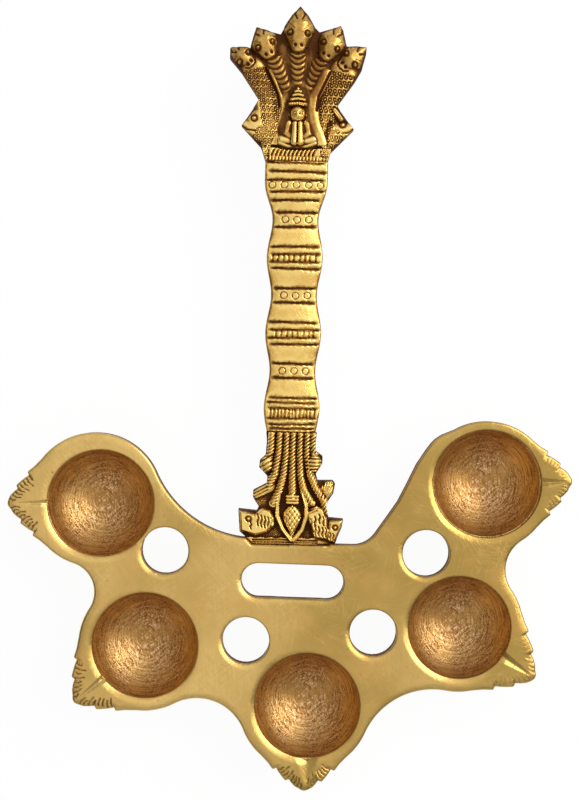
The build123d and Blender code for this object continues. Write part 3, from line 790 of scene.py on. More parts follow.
def handle_material():
    """Cast brass, polished on the high parts, with brown and near-black patina left in the hollows, and the
    same colours as painted shade on its sides, on the foot's ledge and on the niche floor.
    """
    material, tree, shader, place = new_material("handle_brass")
    halo, deep, worn = patina_and_shade_masks(tree, place)
    hairs = use_group(tree, HAIRLINES, place, 1.7)
    colour = mix_colour(tree, worn, HANDLE_CAST, HANDLE_WORN)
    tarnish = patchy(tree, place, (110.0, 4.0, 0.6), 0.5, 0.72, 0.45)
    colour = mix_colour(tree, tarnish, colour, HANDLE_TARNISHED)
    colour = mix_colour(tree, halo, colour, HANDLE_HALO)
    colour = mix_colour(tree, deep, colour, HANDLE_DEEP)
    tree.links.new(colour, shader.inputs["Base Color"])
    rough = scaled_sum(tree, (halo, 0.16), (deep, 0.2), (hairs.outputs["Mask"], 0.08))
    tree.links.new(math_node(tree, "ADD", rough, HANDLE_ROUGHNESS), shader.inputs["Roughness"])
    tree.links.new(map_range(tree, deep, 0.0, 1.0, 1.0, HANDLE_DEEP_METAL), shader.inputs["Metallic"])
    grain = noise_value(tree, place, 900.0, 3.0, 0.6)
    bump(tree, shader, scaled_sum(tree, (grain, 1.0), (hairs.outputs["Height"], 0.3)), HANDLE_BUMP, 0.5)
    return material


# Linear colours of the hidden screws
SCREW_BRIGHT = (0.66, 0.46, 0.18)
SCREW_DULL = (0.50, 0.32, 0.10)
SCREW_ROUGHNESS = (0.3, 0.45)
SCREW_BUMP = 0.0001


def screw_material():
    """Plain turned brass of the hidden screws."""
    material, tree, shader, place = new_material("screw_brass")
    tone = map_range(tree, noise_value(tree, place, 300.0), 0.35, 0.65, 0.0, 1.0)
    tree.links.new(mix_colour(tree, tone, SCREW_BRIGHT, SCREW_DULL), shader.inputs["Base Color"])
    tree.links.new(map_range(tree, tone, 0.0, 1.0, *SCREW_ROUGHNESS), shader.inputs["Roughness"])
    bump(tree, shader, noise_value(tree, place, 1200.0), SCREW_BUMP, 0.4)
    return material


PLATE_BRASS = plate_material()
BOWL_BRASS = bowl_material()
HANDLE_BRASS = handle_material()
SCREW_BRASS = screw_material()


# Plate

PLATE_STEP = 0.265
PLATE_MARGIN = (1.0, 1.0, 0.75)
# Lift of a beak's edge over the straight line from lobe to tip, by share of its length: two leaf tips
BEAK_EDGE_SHARES = (0.0, 0.2, 0.34, 0.36, 0.39, 0.47, 0.58, 0.67, 0.69, 0.72, 0.8, 0.9, 1.0)
BEAK_EDGE_LIFTS = (0.0, 0.35, 0.95, 0.9, -0.2, 0.35, 0.8, 1.05, 0.95, -0.1, 0.3, 0.45, 0.0)
BEAK_EDGE_STRAY = 0.035
BEAK_STROKES = 8
BEAK_FAN_SETBACK = 2.0
BEAK_STROKE_START = 0.42
BEAK_STROKE_LENGTH = 3.1
BEAK_STROKE_STRAY = 0.25
BEAK_STROKE_WIDTH = 0.4
BEAK_STROKE_INSET = 0.3
BEAK_STROKE_CURL = 0.3
BEAK_STROKE_BEND = 0.55
CHANNEL_TAPER = 0.7
CHANNEL_SHINE = 0.5


def web_between(first, second, radius):
    """Finds the centre of the circle that touches two neighbouring lobes from outside."""
    start, end = LOBE_CENTRES[first], LOBE_CENTRES[second]
    gap = end - start
    outward = Vector((gap.y, -gap.x)).normalized()
    first_reach = LOBES[first].edge_radius + radius
    second_reach = LOBES[second].edge_radius + radius
    run = (first_reach**2 - second_reach**2 + gap.length_squared) / (2 * gap.length)
    return start + gap.normalized() * run + outward * math.sqrt(first_reach**2 - run**2)


def rear_web(name, inward):
    """Finds the centre of the circle that touches a rear lobe and the straight rear edge."""
    centre = LOBE_CENTRES[name]
    height = REAR_EDGE + REAR_WEB_RADIUS
    run = math.sqrt((LOBES[name].edge_radius + REAR_WEB_RADIUS) ** 2 - (height - centre.y) ** 2)
    return Vector((centre.x + inward * run, height))


def star_outline(relief):
    """Gives the distance to the star's edge: lobes and beaks joined by hollow webs."""
    names = list(LOBES)
    left_web = rear_web(names[0], 1)
    webs = [(left_web, REAR_WEB_RADIUS)]
    corners = [left_web, LOBE_CENTRES[names[0]]]
    for first, second, radius in zip(names, names[1:], WEB_RADII):
        web = web_between(first, second, radius)
        webs.append((web, radius))
        corners += [web, LOBE_CENTRES[second]]
    shoulder = LOBE_CENTRES[names[-1]] + Vector(SCOOP_SHOULDER)
    scoop_foot, scoop_side = SCOOP_CORNERS[1], SCOOP_CORNERS[7]
    corners += [shoulder, scoop_side, scoop_foot, (scoop_foot[0], REAR_EDGE), (left_web.x, REAR_EDGE)]
    edge = relief.polygon([tuple(corner) for corner in corners])
    for web, radius in webs:
        edge = np.maximum(edge, -relief.disc(web, radius))
    scoop = np.maximum(relief.polygon(SCOOP_CORNERS) - SCOOP_ROUND, FOOT_BASE_HALF_WIDTH - relief.x)
    edge = np.maximum(edge, -scoop)
    for number, name in enumerate(names):
        edge = np.minimum(edge, beak_outline(relief, name, number))
    return edge


def beak_line(name):
    """Gives a lobe's beak: the middle of its round tip, and its way and length from the lobe's middle."""
    lobe = LOBES[name]
    tip = BOWL_CENTRES[name] + bearing_vector(lobe.beak_bearing) * (lobe.beak_length - BEAK_TIP_RADIUS)
    way = tip - LOBE_CENTRES[name]
    return tip, way.normalized(), way.length


def beak_outline(relief, name, number):
    """Gives the distance to one lobe with its beak, whose edge is cut into leaves."""
    radius = LOBES[name].edge_radius
    along, across, reach = relief.local(LOBE_CENTRES[name], beak_line(name)[0])
    stray = BEAK_EDGE_STRAY * np.sin(2.1 * number + 1.3 * np.sign(across))
    across = np.abs(across)
    lean = (radius - BEAK_TIP_RADIUS) / reach
    rest = math.sqrt(1 - lean * lean)
    run = along * rest - across * lean
    edge_length = reach * rest
    edge = along * lean + across * rest - radius
    edge = np.where(run < 0, np.hypot(along, across) - radius, edge)
    edge = np.where(run > edge_length, np.hypot(along - reach, across) - BEAK_TIP_RADIUS, edge)
    share = np.clip(run / edge_length + stray, 0, 1) * (run > 0)
    return edge - np.interp(share, BEAK_EDGE_SHARES, BEAK_EDGE_LIFTS)


def cut_channel(relief, lobe, centre):
    """Cuts a beak's wick channel, a V that runs out towards the tip."""
    way = bearing_vector(lobe.beak_bearing + lobe.channel_turn)
    along, across, _ = relief.local(centre, centre + way)
    channel_end = lobe.beak_length - CHANNEL_END_GAP
    left = np.clip((channel_end - along) / (channel_end - BOWL_RADIUS), 0, 1.1)
    width = np.maximum(0.5 * lobe.channel_width * left**CHANNEL_TAPER, 1e-3)
    inside = np.clip(1 - np.abs(across) / width, 0, 1) * (along > 0.5 * BOWL_RADIUS)
    steepness = min(CHANNEL_STEEPNESS, 2 * CHANNEL_DEPTH / lobe.channel_width)
    relief.height = relief.height - steepness * width * inside
    relief.darken(-CHANNEL_SHINE * (inside > 0))


def carve_beak(relief, name):
    """Cuts a beak's wick channel, and the short strokes across the edge of its leaves."""
    lobe = LOBES[name]
    centre = BOWL_CENTRES[name]
    cut_channel(relief, lobe, centre)
    tip, way, reach = beak_line(name)
    fan = centre + way * (BOWL_RADIUS - BEAK_FAN_SETBACK)
    lean = math.degrees(math.acos((lobe.edge_radius - BEAK_TIP_RADIUS) / reach))
    bearing = math.degrees(math.atan2(way.x, -way.y))
    for side in (-1, 1):
        outward = bearing_vector(bearing + side * lean)
        start = LOBE_CENTRES[name] + outward * lobe.edge_radius
        end = tip + outward * BEAK_TIP_RADIUS
        for number in range(BEAK_STROKES):
            share = BEAK_STROKE_START + (1 - BEAK_STROKE_START) * number / (BEAK_STROKES - 1)
            root = start + (end - start) * share
            inward = (fan - root).normalized()
            length = BEAK_STROKE_LENGTH * (1 + BEAK_STROKE_STRAY * math.sin(2.7 * number + side))
            curl = Vector((-inward.y, inward.x)) * (BEAK_STROKE_CURL * side)
            bend = root + inward * (BEAK_STROKE_BEND * length) + curl
            stroke = [root + inward * BEAK_STROKE_INSET, bend, root + inward * length]
            relief.groove(stroke, BEAK_STROKE_WIDTH, lobe.stroke_depth)


def ease_down(relief, inside, slope, lean=0.0):
    """Lets the plate's face slope gently down towards an edge, by the distance inside it."""
    width, drop = slope
    side = bearing_vector(SLOPE_LEAN_BEARING)
    away_x, away_y = np.gradient(inside, relief.step)
    share = 1 + lean * (away_x * side.x + away_y * side.y)
    fall = np.clip(1 - np.maximum(inside, 0) / width, 0, 1) ** SLOPE_POWER
    relief.height = relief.height - drop * share * fall


def plate_holes(relief):
    """Gives the distances to the four round holes and the slot."""
    holes = []
    for bearing, reach in ROUND_HOLES:
        centre = Vector((RING_X, RING_Y)) + bearing_vector(bearing) * reach
        holes.append(relief.disc(centre, HOLE_RADIUS))
    slot_x, slot_y = relief.x - SLOT_OFFSET, relief.y - RING_Y + SLOT_SETBACK
    slot_run = slot_x * math.cos(SLOT_LEAN) + slot_y * math.sin(SLOT_LEAN)
    slot_across = slot_y * math.cos(SLOT_LEAN) - slot_x * math.sin(SLOT_LEAN)
    past_run = np.maximum(np.abs(slot_run) - 0.5 * (SLOT_LENGTH - SLOT_WIDTH), 0)
    holes.append(np.hypot(past_run, slot_across) - 0.5 * SLOT_WIDTH)
    return holes


def foot_notch(relief):
    """Gives the distance to the notch for the handle's foot, whose left wall slants."""
    left_wall = NOTCH_LEFT - NOTCH_LEAN * (relief.y - NOTCH_EDGE) - relief.x
    right_wall = relief.x - FOOT_BASE_HALF_WIDTH
    return np.maximum(left_wall, np.maximum(right_wall, NOTCH_EDGE - relief.y) - NOTCH_GAP)


def lamp_plate():
    """Casts the star with its lips, holes, notch and beaks."""
    low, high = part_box("lamp_plate")
    margin = Vector(PLATE_MARGIN)
    relief = Relief(tuple(low / MM - margin), tuple(high / MM + margin), PLATE_STEP, PLATE_TOP)
    outline = star_outline(relief)
    mouths = [relief.disc(BOWL_CENTRES[name], lobe.mouth_radius) for name, lobe in LOBES.items()]
    holes = plate_holes(relief)
    notch = foot_notch(relief)
    ease_down(relief, -outline, EDGE_SLOPE)
    for mouth, lobe in zip(mouths, LOBES.values()):
        ease_down(relief, mouth, (LIP_WIDTH, lobe.lip_drop), SLOPE_LEAN)
    for hole in holes:
        ease_down(relief, hole, HOLE_SLOPE, SLOPE_LEAN)
    ease_down(relief, np.where(relief.x < 0, notch, NOTCH_SLOPE[0]), NOTCH_SLOPE)
    eased = relief.height.copy()
    for name in LOBES:
        carve_beak(relief, name)
    outline = np.maximum(outline, -notch)
    solid = rounded_max(relief.z - relief.height[:, :, None], outline[:, :, None], EDGE_ROUND)
    for mouth in mouths:
        solid = rounded_max(solid, -mouth[:, :, None], LIP_ROUND)
    for hole in holes:
        solid = rounded_max(solid, -hole[:, :, None], HOLE_ROUND)
    for centre in BOWL_CENTRES.values():
        rebate = relief.disc(centre, BOWL_RADIUS) - BOWL_RIM_WALL - BOWL_FIT
        solid = np.maximum(solid, -np.maximum(rebate[:, :, None], relief.z - BOWL_RIM))
    solid = np.maximum(solid, PLATE_BOTTOM - relief.z)
    points, triangles, quads = voxel_mesh(solid, relief.low, relief.step)
    piece = new_piece("cast_plate", points, [triangles, quads], Matrix(), PLATE_BRASS)
    # Only what is cut into the eased face counts as hollow
    above = points[:, 2] - relief.read(relief.height, points)
    relief.height = relief.height - eased + PLATE_TOP
    mark_hollows(piece, relief, outline, points, above)
    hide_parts("lamp_plate")


# Bowls

BOWL_INSIDE_STEPS = 48
BOWL_OUTSIDE_STEPS = 40
BOWL_SIDES = 144


def bowl_arc(middle, radius, first, last, steps):
    """Gives points of an arc about a point on the bowl's axis, by angle from straight down."""
    angles = first + (last - first) * np.arange(steps + 1) / steps
    return np.stack([radius * np.sin(angles), middle - radius * np.cos(angles)], axis=1)


def bowl_section():
    """Gives the bowl's section by radius and height: inside, rim, collar and outside down to the foot."""
    inner_curve = (BOWL_RADIUS**2 + BOWL_DEPTH**2) / (2 * BOWL_DEPTH)
    inner_middle = BOWL_FLOOR + inner_curve
    collar = BOWL_RADIUS + BOWL_RIM_WALL
    outer_middle = (collar**2 - BOWL_FOOT_RADIUS**2 + PLATE_BOTTOM**2) / (2 * PLATE_BOTTOM)
    outer_curve = math.hypot(BOWL_FOOT_RADIUS, outer_middle)
    rim_angle = math.acos((inner_middle - BOWL_RIM) / inner_curve)
    collar_angle = math.acos((outer_middle - PLATE_BOTTOM) / outer_curve)
    foot_angle = math.acos(outer_middle / outer_curve)
    inside = bowl_arc(inner_middle, inner_curve, 0, rim_angle, BOWL_INSIDE_STEPS)[1:]
    outside = bowl_arc(outer_middle, outer_curve, collar_angle, foot_angle, BOWL_OUTSIDE_STEPS)
    return np.concatenate([inside, [[collar, BOWL_RIM]], outside])


def turned_bowl(name):
    """Spins the bowl's section about its axis, and closes its floor and its ground foot."""
    section = bowl_section()
    sides = BOWL_SIDES
    turns = 2 * math.pi * np.arange(sides) / sides
    rings = [np.stack([r * np.cos(turns), r * np.sin(turns), np.full(sides, z)], axis=1) for r, z in section]
    points = np.concatenate([[[0, 0, BOWL_FLOOR]], *rings, [[0, 0, 0]]])
    here = np.arange(sides)
    after = (here + 1) % sides
    bottom = np.stack([np.zeros(sides, int), 1 + here, 1 + after], axis=1)
    walls = []
    for ring in range(len(section) - 1):
        start = 1 + ring * sides
        corners = [start + after, start + here, start + sides + here, start + sides + after]
        walls.append(np.stack(corners, axis=1))
    last = 1 + (len(section) - 1) * sides
    foot = np.stack([last + after, last + here, np.full(sides, len(points) - 1)], axis=1)
    faces = [np.concatenate([bottom, foot]), np.concatenate(walls)]
    piece = new_piece("turned_bowl_" + name, points, faces, Matrix(), BOWL_BRASS)
    piece.location = (*(BOWL_CENTRES[name] * MM), 0)
    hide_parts("bowl_" + name)


# Handle: each casting in its own plane, X across, Y along the handle, Z out of its face

TENON_LOW = (-5.0, 1.3)
TENON_HIGH = (5.0, 3.7)
TENON_LENGTH = 8.0
TENON_GAP = 0.1


def handle_place(start):
    """Places a casting whose Y starts at the given length from the plate's notch."""
    place = Matrix.Translation((0, NOTCH_EDGE * MM, TONGUE_BOTTOM * MM))
    return place @ Matrix.Rotation(HANDLE_RISE, 4, "X") @ Matrix.Translation((0, start * MM, 0))


def tenon(relief, start, end, gap=0.0):
    """Gives the tenon between two lengths along the handle, or with a gap the socket round it."""
    low = (TENON_LOW[0] - gap, start - gap, TENON_LOW[1] - gap)
    return relief.block(low, (TENON_HIGH[0] + gap, end + gap, TENON_HIGH[1] + gap))


# Foot: rope strands that fan out over leaves, a bud and two small side heads

FOOT_STEP = 0.18
FOOT_BOX = ((-20.5, -6.2, -0.7), (20.5, 41.0, 9.0))
FOOT_EDGE_ROUND = 0.35
FOOT_GROUND = 4.4
FOOT_OUTLINE = (
    (-13.2, 0.1), (-17.8, 4.2), (-18.4, 12.2), (-11.8, 11.6), (-11.0, 13.2), (-13.2, 16.6),
    (-13.2, 19.0), (-8.4, 21.6), (-8.2, 24.3), (-11.2, 27.4), (-11.0, 29.9), (-9.0, 31.8), (-8.6, 37.0),
    (-8.9, 40.3), (9.3, 40.3), (8.9, 36.7), (9.0, 33.6), (11.5, 31.8), (11.5, 29.3), (9.2, 25.5),
    (9.9, 23.0), (15.4, 23.1), (16.2, 22.0), (15.6, 18.5), (13.1, 14.6), (14.1, 9.6), (19.4, 9.2),
    (18.9, 6.3), (16.6, 0.6), (15.8, 0.1),
)
STRANDS = (
    ((-6.8, 40.8), (-7.0, 34.3), (-7.9, 30.5)),
    ((-3.9, 40.8), (-4.2, 33.6), (-5.5, 25.1), (-7.4, 21.6)),
    ((-1.4, 40.8), (-1.6, 32.0), (-2.4, 25.1), (-3.8, 19.3), (-5.9, 14.8)),
    ((0.9, 40.8), (0.7, 32.0), (0.8, 24.3), (0.9, 17.0)),
    ((3.4, 40.8), (3.3, 32.0), (3.8, 24.3), (5.0, 19.7), (7.8, 15.0)),
    ((5.9, 40.8), (5.8, 32.0), (7.1, 25.1), (9.3, 20.5), (12.1, 16.2), (13.5, 11.8)),
    ((8.2, 40.8), (7.9, 35.9), (8.6, 33.0)),
)
STRAND_RADIUS = 1.32
STRAND_END_RADIUS = 1.7
STRAND_CREST = 7.0
STRAND_PITCH = 1.3
STRAND_TWIST = 0.65
# Centre, half width and half length of the scrolls beside the strands
SCROLLS = (((-8.5, 28.9), 2.6, 3.2), ((8.4, 29.2), 2.9, 3.3))
SCROLL_CREST = 7.3
RIGHT_LEAF = ((9.4, 22.8), (15.0, 23.2), (15.8, 22.0), (15.2, 18.4), (13.0, 15.6), (11.2, 18.0))
LEAF_LIFT = 1.9
LEAF_SLOPE = 1.6
LEDGE_REACH = 2.3
LEDGE_LIFT = 0.9
LEFT_HEAD = (
    (-18.4, 12.4), (-15.2, 11.8), (-12.2, 11.0), (-9.8, 13.2), (-6.6, 12.4), (-5.0, 9.4), (-5.2, 6.4),
    (-8.0, 3.9), (-12.0, 2.8), (-17.8, 4.4),
)
RIGHT_HEAD = ((14.0, 9.0), (19.6, 9.6), (18.9, 6.2), (16.6, 0.6), (13.4, 1.0), (13.4, 5.0))
RIGHT_FEATHERS = ((5.6, 11.8), (9.4, 14.6), (12.4, 13.4), (13.8, 9.6), (15.0, 5.0), (13.8, 1.6), (8.8, 2.2))
SIDE_HEAD_SLOPE = 1.1
FOOT_EYES = ((-14.6, 9.1), (16.5, 6.5))
# Leaf bands that frame the bud
BUD_BANDS = (
    ((-3.6, 19.0), (-4.4, 14.0), (-4.2, 10.0), (-2.3, 5.6), (0.9, 1.6)),
    ((4.6, 18.6), (6.0, 14.0), (6.0, 10.0), (4.6, 5.4), (1.6, 1.6)),
)
BUD_ENDS = ((1.0, 2.2), (1.0, 14.4))
BUD_HALF_WIDTH = 3.3
BUD_BASE = 5.0
BUD_LIFT = 2.6
BUD_CUT_PITCH = 1.45
BUD_CUT_DEPTH = 0.4


def small_side_head(relief, corners, crest, strokes):
    """Lifts one flat side of a small animal head or its feathers, with wavy strokes cut down it."""
    region = relief.polygon(corners)
    swell = np.clip(-region / SIDE_HEAD_SLOPE, 0, 1) ** 0.5
    relief.rise_to(FOOT_GROUND + (crest - FOOT_GROUND) * swell, region < 0)
    bends = ((0.0, 0.0), (0.4, 0.35), (-0.05, 0.7), (0.25, 1.0))
    for x, y, length in strokes:
        relief.groove([(x + aside, y - share * length) for aside, share in bends], 0.5, 0.6)


def foot_strands(relief):
    """Lays the rope strands, with scrolls and leaves at their sides."""
    for points in STRANDS:
        relief.rope(
            points, STRAND_RADIUS, STRAND_CREST, FOOT_GROUND, STRAND_END_RADIUS, STRAND_PITCH, STRAND_TWIST
        )
    for centre, half_width, half_length in SCROLLS:
        relief.dome(centre, half_width, half_length, SCROLL_CREST, FOOT_GROUND)
    relief.row_of_grooves([(-6.3, 26.4), (-8.3, 25.4), (-10.6, 23.8)], (0, 1.9), 4, 0.55, 0.7)
    relief.row_of_grooves([(5.4, 27.2), (11.6, 27.0)], (0, 1.3), 4, 0.5, 0.7)
    relief.rib([(-7.5, 20.8), (-12.2, 17.6)], 2.6, 6.2, FOOT_GROUND, 1.5)
    relief.row_of_grooves([(-8.0, 22.0), (-13.0, 19.2)], (0, -1.25), 3, 0.55, 0.6)
    leaf = relief.polygon(RIGHT_LEAF)
    relief.rise_to(FOOT_GROUND + LEAF_LIFT * np.sqrt(np.clip(-leaf / LEAF_SLOPE, 0, 1)), leaf < 0)
    relief.pit((11.2, 21.9), 1.2, 1.4)
    for number in range(5):
        relief.groove([(15.8 - 0.9 * number, 22.4), (12.8 - 0.35 * number, 17.0)], 0.45, 0.5)


def foot_heads(relief):
    """Lays a low, rough ledge against the plate, the side heads and the feathers behind them."""
    ledge = relief.y < LEDGE_REACH + 0.15 * np.sin(1.7 * relief.x)
    relief.rise_to(FOOT_GROUND + LEDGE_LIFT, ledge)
    for place in (0.6, 1.4):
        relief.groove([(-13.0, place), (-4.0, place + 0.2), (5.0, place - 0.1), (10.0, place)], 0.5, 0.5)
    left_strokes = [(-11.4 + 1.25 * number, 10.8 - 0.35 * number, 4.2) for number in range(5)]
    small_side_head(relief, LEFT_HEAD, 6.7, [*left_strokes, (-13.9, 8.0, 2.6)])
    feather_strokes = [(7.6 + 1.5 * number, 11.2 - 0.9 * abs(number - 2), 3.2) for number in range(5)]
    feather_strokes += [(9.2 + 1.3 * number, 6.9 - 0.2 * number, 3.4) for number in range(5)]
    small_side_head(relief, RIGHT_FEATHERS, 6.7, feather_strokes)
    small_side_head(relief, RIGHT_HEAD, 6.5, [(14.6, 4.6, 2.6), (15.7, 4.2, 2.4)])
    relief.row_of_grooves([(5.4, 12.5), (9.8, 14.4)], (0, -0.95), 3, 0.5, 0.5)
    for eye in FOOT_EYES:
        relief.bead(eye, 0.62, 0.5)


def foot_bud(relief):
    """Lays the collar, the leaf bands and the bud between them, cut in a criss-cross."""
    for number in range(3):
        relief.rib([(-0.9, 17.4 - 1.1 * number), (2.9, 17.4 - 1.1 * number)], 0.62, 7.2, 5.6)
    for band in BUD_BANDS:
        relief.rib(band, 1.0, 6.7, FOOT_GROUND)
        relief.groove(band, 0.4, 0.35)
    along, across, length = relief.local(*BUD_ENDS)
    share = np.clip(along / length, 0, 1)
    half_width = BUD_HALF_WIDTH * np.sin(math.pi * share**1.7) ** 0.65 + 0.01
    swell = np.sqrt(np.clip(1 - (across / half_width) ** 2, 0, 1))
    bud = BUD_BASE + BUD_LIFT * swell * np.sin(math.pi * share) ** 0.4
    for way in (-1, 1):
        cut = np.cos(2 * math.pi * (0.8 * relief.x + way * 0.6 * relief.y) / BUD_CUT_PITCH)
        bud = bud - BUD_CUT_DEPTH * np.clip(cut - 0.5, 0, 1) / 0.5
    relief.rise_to(bud, np.abs(across) < half_width, 0.1)


def handle_foot():
    """Casts the leafy foot, whose tongue lies level under the plate while the foot rises from it."""
    relief = Relief(*FOOT_BOX, FOOT_STEP, FOOT_GROUND)
    outline = np.maximum(relief.polygon(FOOT_OUTLINE), relief.y - FOOT_LENGTH)
    foot_strands(relief)
    foot_heads(relief)
    foot_bud(relief)
    # Rough ground, dark with patina
    ground = relief.height - FOOT_GROUND - 0.6
    relief.scales(ground, 1.15, 0.3)
    relief.darken(0.2 * smooth_step(0.3, -0.6, ground))
    # Painted shade on the low ledge where the foot meets the plate, darker towards the plate
    relief.darken(0.28 * smooth_step(2.6, 1.8, relief.y))
    slope = math.tan(HANDLE_RISE)
    under = relief.y < 0
    relief.height = np.where(under, TONGUE_THICKNESS - slope * relief.y, relief.height)
    tongue_ends = np.maximum(-TONGUE_LENGTH - relief.y, relief.y - 1.0)
    tongue = np.maximum(np.abs(relief.x) - TONGUE_HALF_WIDTH, tongue_ends)
    outline = np.minimum(outline, tongue)
    back = np.where(under, -slope * relief.y, 0.0)
    socket = tenon(relief, FOOT_LENGTH - TENON_LENGTH, FOOT_LENGTH + 1, TENON_GAP)
    place = handle_place(0)
    cast_piece("leafy_foot", "handle_foot", relief, outline, back, FOOT_EDGE_ROUND, place, cut=[socket])


# Grip: a wave of collars and waists with grooves, ticks and punched rings

GRIP_STEP = 0.2
GRIP_BOX = ((-11.8, -8.6, -0.6), (11.8, 105.0, 7.2))
GRIP_EDGE_ROUND = 0.7
GRIP_RECESS = ((-4.5, 6.0, -1), (4.5, GRIP_LENGTH - 6.0, 2.2))
FOOT_COLLAR = 8.4
CREST_COLLAR = 89.1
WAVE_COUNT = 3
WAVE_PITCH = (CREST_COLLAR - FOOT_COLLAR) / WAVE_COUNT
WAIST_HALF_WIDTH = 8.2
COLLAR_HALF_WIDTH = 10.0
CREST_HALF_WIDTH = 11.2
WAIST_EDGE = 3.8
COLLAR_EDGE = 5.0
GRIP_CROWN = 1.5
FOOT_COLLAR_LINES = (1.2, 2.7, 4.9, 8.5, 10.5, 12.2)
CREST_COLLAR_LINES = (82.6, 85.6, 89.6, 92.6, 95.8)
COLLAR_LINES = (-3.9, -1.6, 1.25, 3.9)
WAIST_LINES = (-2.5, 2.6)
LINE_WIDTH = 1.15
LINE_DEPTH = 0.8
# Distances from the grip's edge between which a groove runs out
LINE_ENDS = (0.0, 2.4)
TICK_INSET = 0.5
# Radius, width and depth of the punched rings
RING_MARK = (1.2, 0.36, 0.3)
WAIST_RING_PITCH = 4.2
CREST_RING_PITCH = 4.3
CREST_RINGS_PLACE = 87.8


def cross_line(relief, half_width, place, number):
    """Cuts a groove across the grip, a little askew as a graver leaves it."""
    x = relief.x
    edge = float(np.interp(place, relief.y[0], half_width[0]))
    middle = place - 0.018 * math.sin(5.1 * number) * x
    middle = middle + 0.06 * np.sin(0.9 * x + 1.7 * number) + 0.03 * np.sin(4.7 * x + number)
    width = 1 + 0.25 * np.sin(0.7 * x + 2.3 * number) + 0.14 * np.sin(3.1 * x - number)
    shifted = np.abs(x + 0.4 * math.sin(3.3 * number))
    ends = smooth_step(edge - LINE_ENDS[0], edge - LINE_ENDS[1], shifted)
    cut = np.exp(-(((relief.y - middle) / (0.5 * LINE_WIDTH * width)) ** 2))
    relief.height = relief.height - LINE_DEPTH * ends * cut


def ticks(relief, low, high, first, last, count):
    """Cuts a row of short strokes between two grooves."""
    for number in range(count):
        x = first + (last - first) * number / (count - 1) + 0.15 * math.sin(4.3 * number)
        lean = 0.2 * math.sin(7.9 * number)
        relief.groove([(x, low + TICK_INSET), (x + lean, high - TICK_INSET)], 0.6, 0.5)


def grip_marks(relief):
    """Punches the rings and ticks of collars and waists, and gives the places of the cross lines."""
    lines = [*FOOT_COLLAR_LINES, *CREST_COLLAR_LINES]
    for wave in range(1, WAVE_COUNT):
        collar = FOOT_COLLAR + wave * WAVE_PITCH
        lines += [collar + step for step in COLLAR_LINES]
        low, high = collar + COLLAR_LINES[1], collar + COLLAR_LINES[2]
        ticks(relief, low, high, -4.6 - 1.6 * wave, 7.4, 7 + wave)
    for wave in range(WAVE_COUNT):
        waist = FOOT_COLLAR + (wave + 0.5) * WAVE_PITCH
        lines += [waist + step for step in WAIST_LINES]
        for number in range(3):
            stray = 0.1 * math.sin(2.9 * number + wave)
            relief.ring((WAIST_RING_PITCH * (number - 1) + 0.5, waist + stray), *RING_MARK)
    for number in range(5):
        stray = 0.25 * math.sin(3.1 * number)
        relief.ring((CREST_RING_PITCH * (number - 2) + stray, CREST_RINGS_PLACE + 0.5 * stray), *RING_MARK)
    ticks(relief, FOOT_COLLAR_LINES[2], FOOT_COLLAR_LINES[3], -7.6, 8.0, 13)
    return lines


def handle_grip():
    """Casts the wavy grip, with a tenon at each end and a recess in its back."""
    relief = Relief(*GRIP_BOX, GRIP_STEP, 0.0)
    turns = (np.clip(relief.y, 0, CREST_COLLAR) - FOOT_COLLAR) / WAVE_PITCH
    swell = 0.5 + 0.5 * np.cos(2 * math.pi * turns)
    widest = np.where(relief.y < CREST_COLLAR - WAVE_PITCH / 2, COLLAR_HALF_WIDTH, CREST_HALF_WIDTH)
    half_width = WAIST_HALF_WIDTH + (widest - WAIST_HALF_WIDTH) * swell
    edge = WAIST_EDGE + (COLLAR_EDGE - WAIST_EDGE) * swell
    relief.height = edge + GRIP_CROWN * (1 - (relief.x / half_width) ** 2)
    outline = np.maximum(np.abs(relief.x) - half_width, np.maximum(-relief.y, relief.y - GRIP_LENGTH))
    for number, place in enumerate(grip_marks(relief)):
        cross_line(relief, half_width, place, number)
    recess = relief.block(*GRIP_RECESS)
    foot_tenon = tenon(relief, -TENON_LENGTH, 1)
    hood_tenon = tenon(relief, GRIP_LENGTH - 1, GRIP_LENGTH + TENON_LENGTH)
    place = handle_place(FOOT_LENGTH)
    cast_piece(
        "banded_grip", "handle_grip", relief, outline, 0.0, GRIP_EDGE_ROUND, place,
        joined=[foot_tenon, hood_tenon], cut=[recess],
    )


# Hood: five cobra heads over ringed necks, two small side heads and the figure's niche

HOOD_STEP = 0.18
HOOD_BOX = ((-25.2, -0.9, -0.6), (25.2, 55.6, 9.0))
HOOD_EDGE_ROUND = 0.45
FAN_HEIGHT = 3.1
FAN_CROWN = 1.2
NICHE_FLOOR = 5.0
HOOD_OUTLINE = (
    (-11.2, 0.0), (-12.8, 4.9), (-19.9, 12.4), (-13.8, 21.7), (-20.3, 31.3), (-24.5, 36.2), (-24.5, 39.9),
    (-17.3, 40.0), (-16.2, 44.0), (-15.4, 47.1), (-6.6, 45.0), (-5.4, 47.4), (-2.5, 51.8), (0.2, 54.7),
    (3.0, 51.8), (5.8, 47.4), (7.2, 46.0), (14.6, 48.3), (15.6, 46.9), (17.0, 41.2), (24.0, 41.1),
    (24.0, 38.8), (22.5, 33.0), (20.1, 28.8), (13.9, 20.0), (20.1, 11.8), (11.9, 3.4), (11.1, 0.0),
)
# Snout, tip, half width and crest of each head
COBRA_HEADS = (
    ((-15.8, 32.9), (-24.2, 40.2), 4.3, 7.2),
    ((14.0, 32.6), (24.1, 40.8), 4.7, 7.2),
    ((-9.6, 35.2), (-15.1, 47.4), 5.3, 8.0),
    ((8.3, 34.9), (14.8, 48.1), 5.3, 8.0),
    ((-0.4, 37.1), (0.3, 54.9), 5.8, 8.5),
)
